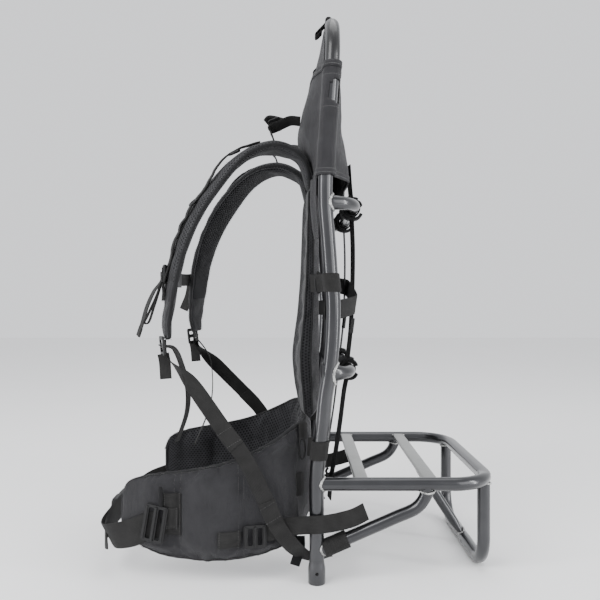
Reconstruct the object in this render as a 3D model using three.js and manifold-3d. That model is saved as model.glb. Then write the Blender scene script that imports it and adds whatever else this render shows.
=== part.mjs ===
// External frame backpack: a welded tube frame with a load shelf, and its harness.
// Millimetres, +Z up. X is the wearer's left, -Y is the wearer's side, +Y the load side.
import * as THREE from "three";
import { mergeVertices } from "three/addons/utils/BufferGeometryUtils.js";
import Module from "manifold-3d";

const wasm = await Module();
wasm.setup();

// Driving sizes of the frame
const frameHeight = 867;
const frameWidth = 330;
const tubeDiameter = 22;
const cornerRadius = 72;
const leanDepth = 50;
const gap = 0.3;
const tubeSides = 10;

const ferruleDiameter = 26;
const ferruleHeight = 34;
const ferruleFlare = 12;
const ferruleHoleDiameter = 5;

const crossbarDiameter = 19;
const crossbarCorner = 45;
const crossbarFlare = { upper: 1.3, lower: 1.7 };
const flareFade = 0.55;
const upperCrossbarHeight = 568;
const upperCrossbarDepth = 84;
const lowerCrossbarHeight = 312;
const lowerCrossbarDepth = 77;

const shelfHeight = 147;
const shelfDepth = 290;
const shelfCorner = 60;
const shelfTubeDiameter = 20;
const shelfFlat = 0.86;
const slatWidth = 22;
const slatThickness = 7;
const slatSink = 2;
const slatDepths = { inner: 92, outer: 196 };

const braceDiameter = 19;
const braceHeight = 46;
const braceReach = 190;
const braceBend = 60;

const footWidth = 256;
const footCorner = 44;
const footDiameter = 20;
const footPlace = 285;
const strutDiameter = 17;

// Driving sizes of the soft goods
const webbingThickness = 1.8;
const hoodBottom = 608;
const hoodTop = 777;
const hoodWall = 1.6;
const hoodFrontBulge = 47;
const hoodRearBulge = 40;
const windowHeight = 38;
const windowCentre = 732;
const haulGripDiameter = 11;
const haulGripLength = 190;
const haulWebbing = 20;

const padWidth = 250;
const padBottom = 236;
const padTop = 600;
const padThickness = 30;
const padBack = 27;

const strapReach = 205;
const strapTop = 668;
const strapWidth = 66;
const strapThickness = 17;
const strapTwist = 20;
const railWidth = 18;

const beltHalfWidth = 177;
const beltReach = 268;
const beltHeight = 193;
const beltFloor = 39;
const beltThickness = 15;

const lowerWebbing = 25;
const beltWebbing = 40;
const stabiliserWebbing = 27;
const sternumWebbing = 22;
const rearWebbing = 25;
const rearStrapPlace = 90;
const tieWebbing = 30;
const lockBar = 4;

// Short tables, as shares of the sizes named in their headings

// Side view of the uprights: up of frameHeight, back of leanDepth
const lean = [
  { up: 0.0, back: 0.5 },
  { up: 0.12, back: 0.5 },
  { up: 0.19, back: 0.505 },
  { up: 0.27, back: 0.672 },
  { up: 0.323, back: 0.76 },
  { up: 0.35, back: 0.834 },
  { up: 0.39, back: 0.926 },
  { up: 0.442, back: 0.986 },
  { up: 0.495, back: 0.992 },
  { up: 0.535, back: 0.92 },
  { up: 0.574, back: 0.872 },
  { up: 0.614, back: 0.82 },
  { up: 0.654, back: 0.765 },
  { up: 0.69, back: 0.755 },
  { up: 0.75, back: 0.79 },
  { up: 0.822, back: 0.87 },
  { up: 0.911, back: 0.97 },
  { up: 1.0, back: 1.0 },
];

// Centre line of a shoulder strap: out of half the frame width, reach of strapReach,
// up of strapTop, wide of strapWidth, thick of strapThickness
const strapLine = [
  { out: 0.515, reach: -0.075, up: 0.9, wide: 0.82, thick: 0.85 },
  { out: 0.515, reach: -0.065, up: 0.93, wide: 0.84, thick: 0.95 },
  { out: 0.515, reach: -0.03, up: 0.963, wide: 0.88, thick: 1.0 },
  { out: 0.515, reach: 0.05, up: 0.985, wide: 0.92, thick: 1.0 },
  { out: 0.527, reach: 0.195, up: 1.0, wide: 0.96, thick: 1.0 },
  { out: 0.545, reach: 0.366, up: 0.988, wide: 1.0, thick: 1.0 },
  { out: 0.57, reach: 0.512, up: 0.956, wide: 1.0, thick: 1.0 },
  { out: 0.594, reach: 0.642, up: 0.91, wide: 1.0, thick: 1.0 },
  { out: 0.624, reach: 0.762, up: 0.856, wide: 1.0, thick: 1.0 },
  { out: 0.667, reach: 0.858, up: 0.796, wide: 0.98, thick: 1.0 },
  { out: 0.715, reach: 0.925, up: 0.733, wide: 0.94, thick: 1.0 },
  { out: 0.764, reach: 0.963, up: 0.673, wide: 0.88, thick: 1.0 },
  { out: 0.794, reach: 0.985, up: 0.62, wide: 0.8, thick: 0.95 },
  { out: 0.818, reach: 1.0, up: 0.572, wide: 0.66, thick: 0.8 },
  { out: 0.824, reach: 0.99, up: 0.54, wide: 0.5, thick: 0.55 },
];

// Plan and side view of half the hip belt: out of beltHalfWidth, reach of beltReach,
// low and high of beltHeight above beltFloor, thick of beltThickness
const beltLine = [
  { out: 0.0, reach: -0.023, low: 0.16, high: 0.985, thick: 1.0 },
  { out: 0.34, reach: -0.023, low: 0.15, high: 1.0, thick: 1.0 },
  { out: 0.62, reach: -0.015, low: 0.12, high: 1.0, thick: 1.0 },
  { out: 0.8, reach: 0.045, low: 0.1, high: 0.975, thick: 1.0 },
  { out: 0.925, reach: 0.15, low: 0.055, high: 0.89, thick: 1.0 },
  { out: 0.985, reach: 0.3, low: 0.015, high: 0.79, thick: 1.0 },
  { out: 1.0, reach: 0.45, low: 0.0, high: 0.725, thick: 1.0 },
  { out: 0.995, reach: 0.6, low: 0.008, high: 0.684, thick: 0.95 },
  { out: 0.97, reach: 0.75, low: 0.03, high: 0.655, thick: 0.85 },
  { out: 0.93, reach: 0.87, low: 0.085, high: 0.62, thick: 0.8 },
  { out: 0.885, reach: 0.96, low: 0.17, high: 0.56, thick: 0.75 },
  { out: 0.86, reach: 1.0, low: 0.28, high: 0.45, thick: 0.7 },
];

// Side view of the back pad: up of its height, front of padThickness, from its back face
const padProfile = [
  { up: 0.0, front: 0.78, wide: 0.93 },
  { up: 0.04, front: 0.9, wide: 0.98 },
  { up: 0.1, front: 1.0, wide: 1.0 },
  { up: 0.2, front: 1.15, wide: 1.0 },
  { up: 0.27, front: 1.2, wide: 1.0 },
  { up: 0.36, front: 1.08, wide: 1.0 },
  { up: 0.45, front: 0.93, wide: 1.0 },
  { up: 0.6, front: 0.78, wide: 1.0 },
  { up: 0.75, front: 0.7, wide: 1.0 },
  { up: 0.9, front: 0.64, wide: 1.0 },
  { up: 0.97, front: 0.6, wide: 0.99 },
  { up: 1.0, front: 0.56, wide: 0.95 },
];

// Side view of the hood: up from hoodBottom to hoodTop, front of hoodFrontBulge and
// rear of hoodRearBulge, both beyond the uprights
const hoodProfile = [
  { up: 0.0, front: 0.04, rear: 0.62 },
  { up: 0.1, front: 0.06, rear: 0.61 },
  { up: 0.19, front: 0.16, rear: 0.54 },
  { up: 0.28, front: 0.36, rear: 0.47 },
  { up: 0.44, front: 0.6, rear: 0.34 },
  { up: 0.62, front: 0.64, rear: 0.2 },
  { up: 0.78, front: 0.5, rear: 0.1 },
  { up: 0.92, front: 0.4, rear: 0.04 },
  { up: 1.0, front: 0.35, rear: 0.0 },
];

const halfWidth = frameWidth / 2;
const tubeRadius = tubeDiameter / 2;
const topBarHeight = frameHeight - tubeRadius;

const metal = new THREE.MeshStandardMaterial({ color: 0x4a4b4f, roughness: 0.35, metalness: 0.9 });
const slatMetal = new THREE.MeshStandardMaterial({ color: 0x8a8c86, roughness: 0.4, metalness: 0.8 });
const cloth = new THREE.MeshStandardMaterial({ color: 0x4b4b50, roughness: 0.85, metalness: 0 });
const mesh = new THREE.MeshStandardMaterial({ color: 0x26262a, roughness: 0.9, metalness: 0 });
const webbing = new THREE.MeshStandardMaterial({ color: 0x3b3b38, roughness: 0.8, metalness: 0 });
const plastic = new THREE.MeshStandardMaterial({ color: 0x2c2c2e, roughness: 0.5, metalness: 0 });

const group = new THREE.Group();

const vec = (x, y, z) => new THREE.Vector3(x, y, z);
const alongX = vec(1, 0, 0);
const alongY = vec(0, 1, 0);
const alongZ = vec(0, 0, 1);

// Adds a named mesh to the group.
function place(name, geometry, material) {
  const piece = new THREE.Mesh(geometry, material);
  piece.name = name;
  group.add(piece);
}

// Reads a column of a table at a place along another column, on a smooth curve.
function readTable(table, key, column, at) {
  const last = table.length - 1;
  let i = 0;
  while (i < last - 1 && at > table[i + 1][key]) i += 1;
  const slope = (j) => {
    const a = table[Math.max(j - 1, 0)];
    const b = table[Math.min(j + 1, last)];
    return (b[column] - a[column]) / (b[key] - a[key]);
  };
  const span = table[i + 1][key] - table[i][key];
  const t = THREE.MathUtils.clamp((at - table[i][key]) / span, 0, 1);
  const rise = table[i + 1][column] - table[i][column];
  const start = slope(i) * span;
  const end = slope(i + 1) * span;
  return table[i][column] + t * (start + t * (3 * rise - 2 * start - end + t * (start + end - 2 * rise)));
}

// How far back the centre line of the uprights lies at a height.
function uprightY(z) {
  return leanDepth * readTable(lean, "up", "back", z / topBarHeight);
}

// A curve through stations taken as they are, so that bends keep their own steps.
class StationCurve extends THREE.Curve {
  constructor(points) {
    super();
    this.points = points;
  }
  getPoint(t, target = new THREE.Vector3()) {
    const at = t * (this.points.length - 1);
    const i = Math.min(Math.floor(at), this.points.length - 2);
    return target.copy(this.points[i]).lerp(this.points[i + 1], at - i);
  }
  getUtoTmapping(u) {
    return u;
  }
}

// Points of a quarter bend from one direction to another, about a corner point.
function bend(corner, from, to, radius, steps) {
  const centre = corner.clone().addScaledVector(from, -radius).addScaledVector(to, radius);
  const points = [];
  for (let i = 0; i <= steps; i += 1) {
    const angle = (i / steps) * (Math.PI / 2);
    const point = centre.clone().addScaledVector(to, -radius * Math.cos(angle));
    points.push(point.addScaledVector(from, radius * Math.sin(angle)));
  }
  return points;
}

// Evenly spaced points on a smooth curve through a few chosen ones.
function smooth(points, steps) {
  return new THREE.CatmullRomCurve3(points, false, "centripetal").getSpacedPoints(steps);
}

// A round bar along stations.
function bar(points, radius, sides = tubeSides) {
  const section = new THREE.Shape(ringSection(radius, radius, sides));
  const options = { steps: points.length - 1, bevelEnabled: false, extrudePath: new StationCurve(points) };
  return new THREE.ExtrudeGeometry(section, options);
}

// An ellipse as a closed section.
function ringSection(across, high, sides = tubeSides) {
  const points = [];
  for (let i = 0; i < sides; i += 1) {
    const angle = ((i + 0.5) / sides) * 2 * Math.PI;
    points.push(new THREE.Vector2(across * Math.cos(angle), high * Math.sin(angle)));
  }
  return points;
}

// A flat strip's section.
function flatSection(width, thickness) {
  const w = width / 2;
  const t = thickness / 2;
  return [[-w, -t], [w, -t], [w, t], [-w, t]].map(([x, y]) => new THREE.Vector2(x, y));
}

// A pad's section: slightly crowned faces with soft edges.
function padSection(width, thickness) {
  const w = width / 2;
  const t = thickness / 2;
  const soft = Math.min(0.7 * thickness, 0.3 * width);
  const quarter = [[w, 0.35 * t], [w - 0.35 * soft, 0.86 * t], [w - soft, t]];
  const upper = [...quarter, [0, 1.06 * t], ...quarter.map(([x, y]) => [-x, y]).reverse()];
  const lower = upper.map(([x, y]) => [-x, -y]);
  return [...upper, ...lower].map(([x, y]) => new THREE.Vector2(x, y));
}

// A closed skin over rings of points, capped at both ends or joined into a loop.
function loft(rings, closed = false) {
  const size = rings[0].length;
  const positions = rings.flat().flatMap((p) => [p.x, p.y, p.z]);
  const index = [];
  const spans = closed ? rings.length : rings.length - 1;
  for (let i = 0; i < spans; i += 1) {
    for (let j = 0; j < size; j += 1) {
      const a = i * size + j;
      const b = i * size + ((j + 1) % size);
      const c = ((i + 1) % rings.length) * size + ((j + 1) % size);
      const d = ((i + 1) % rings.length) * size + j;
      index.push(a, b, c, a, c, d);
    }
  }
  const lastRing = (rings.length - 1) * size;
  for (let j = 1; !closed && j < size - 1; j += 1) {
    index.push(0, j + 1, j);
    index.push(lastRing, lastRing + j, lastRing + j + 1);
  }
  const geometry = new THREE.BufferGeometry();
  geometry.setAttribute("position", new THREE.Float32BufferAttribute(positions, 3));
  geometry.setIndex(index);
  return geometry;
}

// Sweeps a section along stations. facing gives the direction of the section's width at
// each station, and shape gives the section there.
function sweep(points, facing, shape, closed = false) {
  const count = points.length;
  const rings = points.map((point, i) => {
    const before = points[closed ? (i + count - 1) % count : Math.max(i - 1, 0)];
    const after = points[closed ? (i + 1) % count : Math.min(i + 1, count - 1)];
    const tangent = after.clone().sub(before).normalize();
    const share = i / (count - 1);
    const high = tangent.clone().cross(facing(share, point)).normalize();
    const wide = high.clone().cross(tangent).normalize();
    return shape(share).map((p) => point.clone().addScaledVector(wide, p.x).addScaledVector(high, p.y));
  });
  return loft(rings, closed);
}

// A flat strip of webbing along stations, grown on all sides for a cut.
function strip(points, width, facing, grow = 0, closed = false) {
  const section = flatSection(width + 2 * grow, webbingThickness + 2 * grow);
  const direction = typeof facing === "function" ? facing : () => facing;
  return sweep(points, direction, () => section, closed);
}

// Turns a width direction into another along a share of the strip.
function turning(from, to, start = 0, end = 1) {
  return (share) => {
    const t = THREE.MathUtils.smoothstep(share, start, end);
    return from.clone().lerp(to, t).normalize();
  };
}

function toSolid(geometry) {
  const bare = geometry.clone();
  bare.deleteAttribute("normal");
  bare.deleteAttribute("uv");
  const merged = mergeVertices(bare, 1e-3);
  const vertProperties = new Float32Array(merged.attributes.position.array);
  const triVerts = new Uint32Array(merged.index.array);
  return new wasm.Manifold(new wasm.Mesh({ numProp: 3, vertProperties, triVerts }));
}

function toGeometry(solid) {
  const result = solid.getMesh();
  const geometry = new THREE.BufferGeometry();
  geometry.setAttribute("position", new THREE.BufferAttribute(new Float32Array(result.vertProperties), 3));
  geometry.setIndex(Array.from(result.triVerts));
  return geometry;
}

// Cuts a piece clear of its neighbours and keeps its largest part.
function cut(geometry, ...neighbours) {
  let solid = toSolid(geometry);
  for (const neighbour of neighbours) solid = solid.subtract(toSolid(neighbour));
  const parts = solid.decompose();
  parts.sort((a, b) => b.volume() - a.volume());
  return toGeometry(parts[0]);
}

function join(...geometries) {
  return toGeometry(geometries.map(toSolid).reduce((all, next) => all.add(next)));
}

// The same piece on the other side of the mid-plane.
function mirror(geometry) {
  const bare = geometry.index ? geometry.clone() : mergeVertices(geometry);
  bare.scale(-1, 1, 1);
  const order = Array.from(bare.index.array);
  for (let i = 0; i < order.length; i += 3) [order[i], order[i + 1]] = [order[i + 1], order[i]];
  bare.setIndex(order);
  return bare;
}

function placePair(name, geometry, material) {
  place(`${name}_left`, geometry, material);
  place(`${name}_right`, mirror(geometry), material);
}

// Stations of the bent main tube, from one foot over the top to the other.
function mainRoute() {
  const side = [];
  const bendStart = topBarHeight - cornerRadius;
  const steps = 15;
  for (let i = 0; i < steps; i += 1) {
    const z = ferruleHeight + gap + ((bendStart - ferruleHeight - gap) * i) / steps;
    side.push(vec(halfWidth, uprightY(z), z));
  }
  const corner = bend(vec(halfWidth, 0, topBarHeight), alongZ, alongX.clone().negate(), cornerRadius, 6);
  corner.forEach((point) => side.push(point.setY(uprightY(point.z))));
  const other = side.map((point) => vec(-point.x, point.y, point.z)).reverse();
  return [...side, ...other];
}

const mainStations = mainRoute();

function mainTube(grow = 0) {
  return bar(mainStations, tubeRadius + grow, tubeSides);
}

// The wider lower end of an upright, drilled across.
function ferrule() {
  const wide = ferruleDiameter / 2;
  const profile = [[0, 0], [wide - 1, 0], [wide, 1], [wide, ferruleHeight - ferruleFlare],
    [tubeRadius, ferruleHeight], [0, ferruleHeight]];
  const body = new THREE.LatheGeometry(profile.map(([r, z]) => new THREE.Vector2(r, z)), 16);
  body.rotateX(Math.PI / 2);
  body.translate(halfWidth, uprightY(0), 0);
  const hole = new THREE.CylinderGeometry(ferruleHoleDiameter / 2, ferruleHoleDiameter / 2, 2 * ferruleDiameter, 8);
  hole.rotateZ(Math.PI / 2);
  hole.translate(halfWidth, uprightY(0), (ferruleHeight - ferruleFlare) * 0.8);
  return cut(body, hole);
}

// A U-shaped route from one upright to the rear and back to the other.
function rearLoop(z, depth, corner, start) {
  const side = [vec(halfWidth, start, z), vec(halfWidth, (start + depth - corner) / 2, z)];
  side.push(...bend(vec(halfWidth, depth, z), alongY, alongX.clone().negate(), corner, 6));
  const other = side.map((point) => vec(-point.x, point.y, point.z)).reverse();
  return [...side, ...other];
}

// A crossbar, taller where it is welded to the uprights.
function crossbar({ z, depth, flare }) {
  const radius = crossbarDiameter / 2;
  const route = rearLoop(z, depth, crossbarCorner, uprightY(z));
  const section = (share) => {
    const end = Math.min(share, 1 - share) * 2;
    const taller = 1 + (flare - 1) * Math.max(0, 1 - end / flareFade);
    return ringSection(radius, radius * taller);
  };
  return sweep(route, (share) => levelSide(route, share), section);
}

// The level direction across a level route.
function levelSide(route, share) {
  const i = Math.round(share * (route.length - 1));
  const tangent = route[Math.min(i + 1, route.length - 1)].clone().sub(route[Math.max(i - 1, 0)]);
  return tangent.cross(alongZ).negate();
}

// The shelf's rail, its outer run pressed flatter.
function shelfHoop(grow = 0) {
  const radius = shelfTubeDiameter / 2 + grow;
  const route = rearLoop(shelfHeight, shelfDepth, shelfCorner, uprightY(shelfHeight));
  const section = (share) => {
    const middle = Math.max(0, 1 - Math.abs(share - 0.5) * 5);
    return ringSection(radius, radius * (1 - (1 - shelfFlat) * Math.min(1, 2 * middle)));
  };
  return sweep(route, (share) => levelSide(route, share), section);
}

// A flat slat across the shelf, let in a little below the top of the rails.
function shelfSlat(depth, grow = 0) {
  const slat = new THREE.BoxGeometry(frameWidth, slatWidth + 2 * grow, slatThickness + 2 * grow);
  slat.translate(0, depth, shelfHeight + shelfTubeDiameter / 2 - slatThickness / 2 - slatSink);
  return slat;
}

// Stations of a brace, rising from the upright and turning up to the shelf rail.
function braceRoute() {
  const start = vec(halfWidth, uprightY(braceHeight), braceHeight);
  const rise = shelfHeight - braceHeight;
  const reach = braceReach - uprightY(braceHeight);
  const points = [
    start,
    vec(halfWidth, start.y + 0.35 * reach, braceHeight + 0.25 * rise),
    vec(halfWidth, start.y + 0.7 * reach, braceHeight + 0.5 * rise),
    vec(halfWidth, braceReach - 0.25 * braceBend, braceHeight + 0.66 * rise),
    vec(halfWidth, braceReach - 0.04 * braceBend, braceHeight + 0.83 * rise),
    vec(halfWidth, braceReach, shelfHeight),
  ];
  return smooth(points, 9);
}

const braceStations = braceRoute();

function brace(grow = 0) {
  return bar(braceStations, braceDiameter / 2 + grow);
}

// The foot: two legs under the shelf's outer corners, joined by a cross run on the floor.
function footRoute() {
  const half = footWidth / 2;
  const low = footDiameter / 2;
  const top = vec(half, footPlace, shelfHeight);
  const side = [top, vec(half, footPlace, (shelfHeight + low + footCorner) / 2)];
  const down = alongZ.clone().negate();
  side.push(...bend(vec(half, footPlace, low), down, alongX.clone().negate(), footCorner, 6));
  const other = side.map((point) => vec(-point.x, point.y, point.z)).reverse();
  return [...side, ...other];
}

function footLoop(grow = 0) {
  return bar(footRoute(), footDiameter / 2 + grow);
}

// The strut from the outer slat down to the middle of the foot's cross run.
function footStrut() {
  const top = vec(0, slatDepths.outer, shelfHeight);
  const bottom = vec(0, footPlace, footDiameter / 2);
  return bar([top, bottom], strutDiameter / 2);
}

const crossbarAt = {
  upper: { z: upperCrossbarHeight, depth: upperCrossbarDepth, flare: crossbarFlare.upper },
  lower: { z: lowerCrossbarHeight, depth: lowerCrossbarDepth, flare: crossbarFlare.lower },
};

const upright = mainTube(gap);
place("main_tube", mainTube(), metal);
placePair("ferrule", ferrule(), metal);
for (const [name, sizes] of Object.entries(crossbarAt)) {
  place(`${name}_crossbar`, cut(crossbar(sizes), upright), metal);
}
place("shelf_hoop", cut(shelfHoop(), upright), metal);
for (const [name, depth] of Object.entries(slatDepths)) {
  place(`shelf_slat_${name}`, cut(shelfSlat(depth), shelfHoop(gap)), slatMetal);
}
placePair("brace", cut(brace(), upright, shelfHoop(gap)), metal);
place("foot_loop", cut(footLoop(), shelfHoop(gap)), metal);
place("foot_strut", cut(footStrut(), footLoop(gap), shelfSlat(slatDepths.outer, gap)), metal);

// Centre line, width direction and sizes of a shoulder strap at a share of its length.
const strapPoints = strapLine.map((row) => vec(halfWidth * row.out, -strapReach * row.reach, strapTop * row.up));
const strapSteps = 24;
const strapStations = smooth(strapPoints, strapSteps);

function strapSize(share, column) {
  const last = strapLine.length - 1;
  const rows = strapLine.map((row, i) => ({ at: i / last, value: row[column] }));
  return readTable(rows, "at", "value", share);
}

// The outer face of the strap turns outwards by this angle, none at its root.
function strapFacing(share) {
  const angle = THREE.MathUtils.degToRad(strapTwist) * THREE.MathUtils.smoothstep(share, 0.1, 0.5);
  return (point, tangent) => alongX.clone().applyAxisAngle(tangent, -angle);
}

function strapTangent(i) {
  const before = strapStations[Math.max(i - 1, 0)];
  const after = strapStations[Math.min(i + 1, strapSteps)];
  return after.clone().sub(before).normalize();
}

// Width and outward directions of the strap at a station.
function strapAxes(i) {
  const tangent = strapTangent(i);
  const wide = strapFacing(i / strapSteps)(strapStations[i], tangent);
  const outward = tangent.clone().cross(wide).normalize();
  return { tangent, wide: outward.clone().cross(tangent).normalize(), outward };
}

function shoulderStrap(grow = 0) {
  const facing = (share) => strapAxes(Math.round(share * strapSteps)).wide;
  const section = (share) =>
    padSection(strapWidth * strapSize(share, "wide") + 2 * grow, strapThickness * strapSize(share, "thick") + 2 * grow);
  return sweep(strapStations, facing, section);
}

// Places a point beside the strap: at a station, across its width and out from its face.
function onStrap(i, across, out) {
  const axes = strapAxes(i);
  const half = (strapThickness * strapSize(i / strapSteps, "thick")) / 2;
  return strapStations[i].clone().addScaledVector(axes.wide, across).addScaledVector(axes.outward, half * 1.06 + out);
}

placePair("shoulder_strap", shoulderStrap(), mesh);

// The back pad, a padded panel between the uprights.
function backPad(grow = 0) {
  const height = padTop - padBottom;
  const rings = padProfile.map((row) => {
    const z = padBottom + height * row.up + (row.up - 0.5) * 2 * grow;
    const thick = padThickness * row.front + 2 * grow;
    const centre = padBack - (padThickness * row.front) / 2;
    return padSection(padWidth * row.wide + 2 * grow, thick).map((p) => vec(p.x, centre + p.y, z));
  });
  return loft(rings);
}

place("back_pad", backPad(), mesh);

// Centre line of the whole hip belt, from the right wing's end round to the left one's.
function beltRows() {
  const left = beltLine.map((row) => ({
    at: vec(beltHalfWidth * row.out, -beltReach * row.reach, 0),
    low: beltFloor + beltHeight * row.low,
    high: beltFloor + beltHeight * row.high,
    thick: beltThickness * row.thick,
  }));
  const right = left.slice(1).map((row) => ({ ...row, at: vec(-row.at.x, row.at.y, 0) })).reverse();
  return [...right, ...left];
}

const beltStations = beltRows();

// Outward direction of the belt's face at a station.
function beltOutward(i) {
  const before = beltStations[Math.max(i - 1, 0)].at;
  const after = beltStations[Math.min(i + 1, beltStations.length - 1)].at;
  return after.clone().sub(before).normalize().cross(alongZ).negate().normalize();
}

function hipBelt(grow = 0) {
  const rings = beltStations.map((row, i) => {
    const inward = beltOutward(i).negate();
    const middle = (row.low + row.high) / 2;
    const section = padSection(row.high - row.low + 2 * grow, row.thick + 2 * grow);
    return section.map((p) => row.at.clone().addScaledVector(inward, p.y).setZ(middle + p.x));
  });
  return loft(rings);
}

place("hip_belt", cut(hipBelt(), upright), cloth);

// The hood: a cloth sleeve over the top of the frame, with a front panel up to the top bar.
const roundFit = 1 / Math.cos(Math.PI / 8);

function hoodRing(row, wall) {
  const z = hoodBottom + (hoodTop - hoodBottom) * row.up;
  const middle = uprightY(z);
  const radius = (tubeRadius + gap) * roundFit + wall;
  const near = middle - radius;
  const far = middle + radius;
  const front = near - hoodFrontBulge * row.front;
  const rear = far + hoodRearBulge * row.rear;
  const shoulder = 0.7 * radius;
  const half = [
    [0, front], [0.5 * halfWidth, front], [0.72 * halfWidth, front + 0.2 * (near - front)],
    [halfWidth, near], [halfWidth + shoulder, middle - shoulder], [halfWidth + radius, middle],
    [halfWidth + shoulder, middle + shoulder], [halfWidth, far],
    [0.72 * halfWidth, rear + 0.2 * (far - rear)], [0.5 * halfWidth, rear], [0, rear],
  ];
  const other = half.slice(1, -1).map(([x, y]) => [-x, y]).reverse();
  return [...half, ...other].map(([x, y]) => vec(x, y, z));
}

function hoodPanel() {
  const rows = [
    { up: -0.2, front: 0.37, half: 0.96 },
    { up: 0.3, front: 0.25, half: 0.9 },
    { up: 0.65, front: 0.12, half: 0.78 },
    { up: 0.95, front: 0.02, half: 0.6 },
  ];
  const rings = rows.map(({ up, front, half }) => {
    const z = hoodTop + (topBarHeight - hoodTop) * up;
    const near = uprightY(z) - (tubeRadius + gap) * roundFit;
    const out = halfWidth * half;
    const y = near - hoodFrontBulge * front;
    const line = [[-out, near], [-0.6 * out, y], [0.6 * out, y], [out, near]];
    const back = line.map(([x, at]) => vec(x, at, z)).reverse();
    return [...line.map(([x, at]) => vec(x, at - hoodWall, z)), ...back];
  });
  return loft(rings);
}

function hood() {
  const outer = loft(hoodProfile.map((row) => hoodRing(row, hoodWall)));
  const long = [{ ...hoodProfile[0], up: -0.05 }, ...hoodProfile.slice(1, -1),
    { ...hoodProfile[hoodProfile.length - 1], up: 1.05 }];
  const inner = loft(long.map((row) => hoodRing(row, 0)));
  const opening = 2 * (tubeRadius + hoodWall);
  const window = new THREE.BoxGeometry(4 * halfWidth, opening, windowHeight);
  window.translate(0, uprightY(windowCentre), windowCentre);
  const keep = new THREE.BoxGeometry(2 * halfWidth + 4, 4 * opening, 2 * windowHeight);
  keep.translate(0, uprightY(windowCentre), windowCentre);
  const sides = toSolid(window).subtract(toSolid(keep));
  const sleeve = toSolid(outer).subtract(toSolid(inner)).subtract(sides);
  const straps = shoulderStrap(gap);
  return cut(toGeometry(sleeve.add(toSolid(hoodPanel()))), straps, mirror(straps));
}

place("hood", hood(), cloth);

// The carrying loop: a round grip along the top bar, on two folded webbing legs.
function haulLoop() {
  const grip = haulGripDiameter / 2;
  const y = uprightY(topBarHeight);
  const gripZ = frameHeight + grip;
  const along = haulGripLength / 2;
  const handle = bar([vec(-along, y - 4, gripZ), vec(along, y - 4, gripZ)], grip);
  const side = along - haulWebbing / 2;
  const drop = [[-4, gripZ - frameHeight], [-13.5, -4.5], [-22.5, -14], [-25.2, -17.5], [-24.5, -20],
    [-21.5, -18.8], [-15, -12.2]];
  const legs = [side, -side].map((x) =>
    strip(drop.map(([back, up]) => vec(x, y + back, frameHeight + up)), haulWebbing, alongX));
  return cut(join(handle, ...legs), upright);
}

place("haul_loop", haulLoop(), webbing);

// The direction of the upright's centre line at a height.
function uprightLean(z) {
  return vec(0, uprightY(z + tubeRadius) - uprightY(z - tubeRadius), tubeDiameter).normalize();
}

// Points of a loop of webbing round the left upright.
function loopRound(z, count = 12) {
  const fit = 1 / Math.cos(Math.PI / count);
  const radius = (tubeRadius + gap) * fit + webbingThickness / 2;
  const points = [];
  for (let i = 0; i < count; i += 1) {
    const angle = (i / count) * 2 * Math.PI;
    points.push(vec(halfWidth + radius * Math.cos(angle), uprightY(z) + radius * Math.sin(angle), z));
  }
  return points;
}

// A webbing sleeve round the left upright with a tab to the pad or the belt.
function padSleeve(z, width, end) {
  const lie = uprightLean(z);
  const loop = strip(loopRound(z), width, lie, 0, true);
  const start = vec(halfWidth - tubeRadius - gap - webbingThickness / 2, uprightY(z), z);
  const tab = strip([start, start.clone().lerp(end, 0.5), end], width, lie);
  return cut(join(loop, tab), upright, backPad(gap));
}

const sleeveWidth = 28;
const sleeveHeights = { left: 448, right: 407 };
const padSide = (z) => vec(padWidth / 2 + 2 * gap, padBack - 0.35 * padThickness, z);
place("pad_sleeve_left", padSleeve(sleeveHeights.left, sleeveWidth, padSide(sleeveHeights.left)), webbing);
const rightSleeve = padSleeve(sleeveHeights.right, sleeveWidth, padSide(sleeveHeights.right));
place("pad_sleeve_right", mirror(rightSleeve), webbing);

const beltSleeveHeight = 198;
const beltSleeve = padSleeve(beltSleeveHeight, sleeveWidth, vec(0.8 * beltHalfWidth, 12, beltSleeveHeight));
placePair("belt_sleeve", cut(beltSleeve, hipBelt(gap)), webbing);

// A vertical lashing strap, looped round both crossbars and round the foot of an upright.
function barLoop(x, { z, depth }, grow) {
  const count = 10;
  const radius = (crossbarDiameter / 2 + gap) / Math.cos(Math.PI / count) + webbingThickness / 2;
  const points = [];
  for (let i = 0; i < count; i += 1) {
    const angle = (i / count) * 2 * Math.PI;
    points.push(vec(x, depth + radius * Math.cos(angle), z + radius * Math.sin(angle)));
  }
  return strip(points, rearWebbing, alongX, grow, true);
}

// The free end below the lower crossbar: depth and up as shares of the crossbar's own.
const rearFall = [
  { depth: 0.93, up: 0.9 },
  { depth: 0.84, up: 0.73 },
  { depth: 0.75, up: 0.58 },
  { depth: 0.66, up: 0.45 },
  { depth: 0.61, up: 0.33 },
];

function rearStrap(grow = 0) {
  const x = rearStrapPlace;
  const { upper, lower } = crossbarAt;
  const reach = crossbarDiameter / 2 + gap + webbingThickness / 2;
  const runs = [
    [vec(x, upper.depth, upper.z + reach), vec(x, upper.depth - 3, upper.z + 28),
      vec(x, upper.depth - 6, hoodBottom + 30)],
    [vec(x, lower.depth, lower.z + reach), vec(x, lower.depth + 5, lower.z + 70),
      vec(x, upper.depth + 1, upper.z - 70), vec(x, upper.depth, upper.z - reach)],
  ].map((points) => strip(points, rearWebbing, alongX, grow));
  const fall = rearFall.map(({ depth, up }) => vec(x, lower.depth * depth, lower.z * up));
  fall.unshift(vec(x, lower.depth, lower.z - reach));
  return join(barLoop(x, upper, grow), barLoop(x, lower, grow), ...runs, strip(fall, rearWebbing, alongX, grow));
}

placePair("rear_strap", cut(rearStrap(), upright), webbing);

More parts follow.
